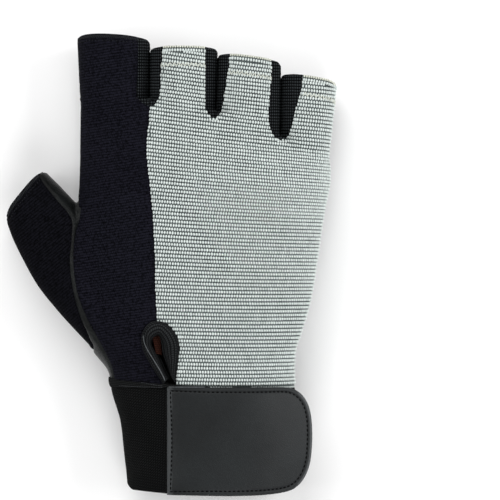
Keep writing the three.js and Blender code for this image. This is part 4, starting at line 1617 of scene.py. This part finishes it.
def tabRise(depth):
    # Height of the leather over its underside, at a depth in from the edge
    over = np.maximum(tab["round"] - depth, 0)
    edge = tab["round"] - np.sqrt(np.maximum(tab["round"] ** 2 - over ** 2, 0))
    groove = hill(depth, tab["groove"][0], tab["stitchIn"], tab["groove"][1])
    swell = tab["swell"][0] * np.clip((depth - tab["stitchIn"]) / tab["swell"][1], 0, 1)
    return tab["thickness"] - edge - groove + hill(depth, *tab["welt"]) + swell


def paleness(points, outline):
    # How pale the leather is: the paler strip of the sewn end, a painted highlight on the welt of the
    # rounded end, and painted light that grows towards the free end
    depth = planDistance(outline, points)
    along = points[:, 0] - tabLeft
    wide, fade, most = tab["paleSewn"]
    sewn = most * np.clip((wide - along) / fade, 0, 1)
    # Painted highlight on the welt of the rounded end
    middle, half, most = tab["rimHighlight"]
    wearAndSheen = most * np.clip(1.4 - np.abs(depth - middle) / half, 0, 1) * (along > 0.9 * hand["tabLength"])
    # Painted light: paler towards the free end
    return np.maximum(sewn, wearAndSheen) + tab["paintedLightAlong"] * np.clip(along / hand["tabLength"], 0, 1)


def makeTab(outline, core):
    reach = np.linalg.norm(core - outline, axis=1)
    count = len(outline)
    shares = np.minimum(np.array(tab["rings"])[None, :] * mm / reach[:, None], 0.95)
    shares = np.append(shares, np.ones((count, 1)), 1)
    rings = shares.shape[1]

    def place(u, v):
        i = np.rint(u * count).astype(int) % count
        share = shares[i, np.rint(v * (rings - 1)).astype(int)]
        return overBand(mix(outline[i], core[i], share[:, None]), tabRise(share * reach[i]))[0]
    obj = grid("tab_cover", count, rings - 1, place)
    editMesh(obj, weld(cutting["looseWeld"]), evenNormals)
    faceUp(obj)
    giveWall(obj, tab["thickness"] - tab["round"])
    givePointValues(obj.data, "pale", paleness(getPoints(obj), outline))
    return obj


def sewTab(outline, core):
    reach = np.linalg.norm(core - outline, axis=1)
    plan = outline + (core - outline) * (tab["stitchIn"] / reach)[:, None]
    path, slope = overBand(np.concatenate([plan, plan[:1]]), tab["thickness"] - tab["stitchSunk"])
    up = np.column_stack([slope, np.zeros(len(slope)), np.ones(len(slope))])
    up /= np.linalg.norm(up, axis=1)[:, None]
    sewRow("tab_stitches", [(path, up)], 1.75, (0.6, 0.33, 0.2), "blackThread", "tab_leather", rise=0)
    x = tabLeft + np.linspace(*tab["thread"], 40) * mm
    path, _ = overBand(np.column_stack([x, np.full(40, tabHigh + 0.1 * mm)]), tab["threadUp"])
    makeCord("tab_edge", path, np.tile([0.0, 0.0, 1.0], (40, 1)), 0.2, "paleEdge", "tab_leather")


print("stage: closure tab")
tabEdge = tabLine()
spineX = tabEdge[:, 0].min() + tab["spineEnd"], tabEdge[:, 0].max() - tab["spineEnd"]
spineY = np.full(len(tabEdge), tabHigh - hand["tabWidth"] / 2)
tabCore = np.stack([np.clip(tabEdge[:, 0], *spineX), spineY], 1)
finishPiece(makeTab(tabEdge, tabCore), "tabLeather", "tab_leather", "closure_tab")
sewTab(tabEdge, tabCore)


# Vent binding: a thick knitted edge round the drop-shaped opening, with the leather's brown reverse

binding = {
    "places": 161,
    "from": 0.5 * mm,
    "length": 55 * mm,
    "width": 6 * mm,
    # Across it: shares from outside to inside, and mm over the hand
    "profile": [(0, -1.4), (0, -0.4), (0.02, 0.2), (0.07, 0.5), (0.13, 0.35), (0.19, 0.3), (0.3, 0.85),
                (0.45, 1.15), (0.62, 1.15), (0.78, 0.9), (0.9, 0.4), (0.97, -0.2), (1, -0.9), (1.1, -2.0),
                (1.24, -3.2)],
    "seam": [(-0.2468, 0.1486), (-0.242, 0.1274), (-0.227, 0.1034), (-0.2023, 0.0751), (-0.1785, 0.0469),
             (-0.1603, 0.0198), (-0.156, 0.003)],
}
ventLining = {"upper": ((-0.210, 0.142), (-0.181, 0.154)), "lower": ((-0.196, 0.096), (-0.173, 0.092)),
              "sunk": 1.3, "slant": 1.6, "wall": 0.4 * mm}


def resample(line, count):
    line = np.asarray(line)
    length = lengthAlong(line)
    return valuesAt(np.linspace(0, length[-1], count), length, line)


def overHand(plan, lift):
    z = np.array([castDown(formTree, x, y)[0].z for x, y in plan])
    return np.column_stack([plan, z + lift])


def makeVent():
    count, rows = binding["places"], len(binding["profile"])
    outer = resample([p for p in smoothLine("ventOutside") if p[1] > handStart + binding["from"]], count)
    inner = resample(smoothLine("ventOpening"), count)
    shares, lifts = np.array(binding["profile"]).T

    def place(u, v):
        i = np.rint(u * (count - 1)).astype(int)
        k = np.rint(v * (rows - 1)).astype(int)
        return overHand(mix(outer[i], inner[i], shares[k][:, None]), lifts[k] * mm)
    obj = grid("vent_knit", count - 1, rows - 1, place)
    u = np.tile(np.linspace(0, 1, count), rows) * binding["length"]
    v = np.repeat(np.linspace(0, 1, rows), count) * binding["width"]
    giveUV(obj, lambda points: (u, v))
    editMesh(obj, evenNormals)
    faceUp(obj)
    smoothShade(obj)
    return obj


def placeLining(u, v):
    upper, lower = (mix(*(np.array(onHand(*corner)) for corner in ventLining[row]), u[:, None])
                    for row in ("upper", "lower"))
    sunk = (ventLining["sunk"] + ventLining["slant"] * u ** 2) * mm
    return overHand(mix(upper, lower, v[:, None]), -sunk)


print("stage: vent binding")
vent = makeVent()
finishPiece(vent, "binding", "knitted_binding", "vent_binding")
makeCord("vent_edge", *trace(treeOf(vent), smoothPlan(binding["seam"], 60)), 0.16, "paleEdge",
         "knitted_binding")
lining = openSheet("vent_lining", 14, 18, placeLining, ventLining["wall"])
finishPiece(lining, "brownLining", "knitted_binding")
remove(handForm)


# Floor, camera and light

studio = {
    "frame": 195 * mm,
    "lens": 500,
    "focusHeight": 16 * mm,
    "sensor": 36,
    "clip": 20,
    # The middle of the picture, from the middle of the hand and the band's lower edge
    "middle": (17.16 * mm, 93.21 * mm),
    "floorSize": 6,
    "floorGrey": 0.92,
    "floorRough": 0.9,
    "sky": 0.22,
    "target": (0, 0, 0.01),
}
lights = {
    "softBack": {"place": (-0.25, 0.75, 0.75), "size": 0.8, "power": 7.5},
    "softRight": {"place": (0.9, 0.15, 0.5), "size": 0.7, "power": 8.5},
    "softLeft": {"place": (-0.85, 0.1, 0.65), "size": 0.7, "power": 4.8},
    "softFront": {"place": (0.1, -0.8, 0.7), "size": 0.8, "power": 5.0},
}


def makeFloor():
    bpy.ops.mesh.primitive_plane_add(size=studio["floorSize"])
    floor = bpy.context.object
    floor.name = "floor"
    paint = bpy.data.materials.new("floorPaint")
    paint.use_nodes = True
    shader = paint.node_tree.nodes["Principled BSDF"].inputs
    shader["Base Color"].default_value = (studio["floorGrey"],) * 3 + (1,)
    shader["Roughness"].default_value = studio["floorRough"]
    floor.data.materials.append(paint)
    return floor


def makeCamera():
    away = studio["frame"] / 2 / math.tan(math.atan(studio["sensor"] / 2 / studio["lens"]))
    x, y = centreX + studio["middle"][0], bandLow + studio["middle"][1]
    bpy.ops.object.camera_add(location=(x, y, studio["focusHeight"] + away))
    camera = bpy.context.object
    camera.data.lens = studio["lens"]
    camera.data.sensor_width = studio["sensor"]
    camera.data.clip_end = studio["clip"]
    return camera


print("stage: floor, camera and light")
makeFloor()
bpy.context.scene.camera = makeCamera()
for name, lamp in lights.items():
    bpy.ops.object.light_add(type="AREA", location=lamp["place"])
    light = bpy.context.object
    light.name = name
    light.data.size = lamp["size"]
    light.data.energy = lamp["power"]
    direction = Vector(studio["target"]) - Vector(lamp["place"])
    light.rotation_euler = direction.to_track_quat("-Z", "Y").to_euler()
world = bpy.data.worlds.new("studio")
world.use_nodes = True
sky = world.node_tree.nodes["Background"].inputs
sky["Color"].default_value = (1, 1, 1, 1)
sky["Strength"].default_value = studio["sky"]
bpy.context.scene.world = world
bpy.context.scene.view_settings.view_transform = "Standard"
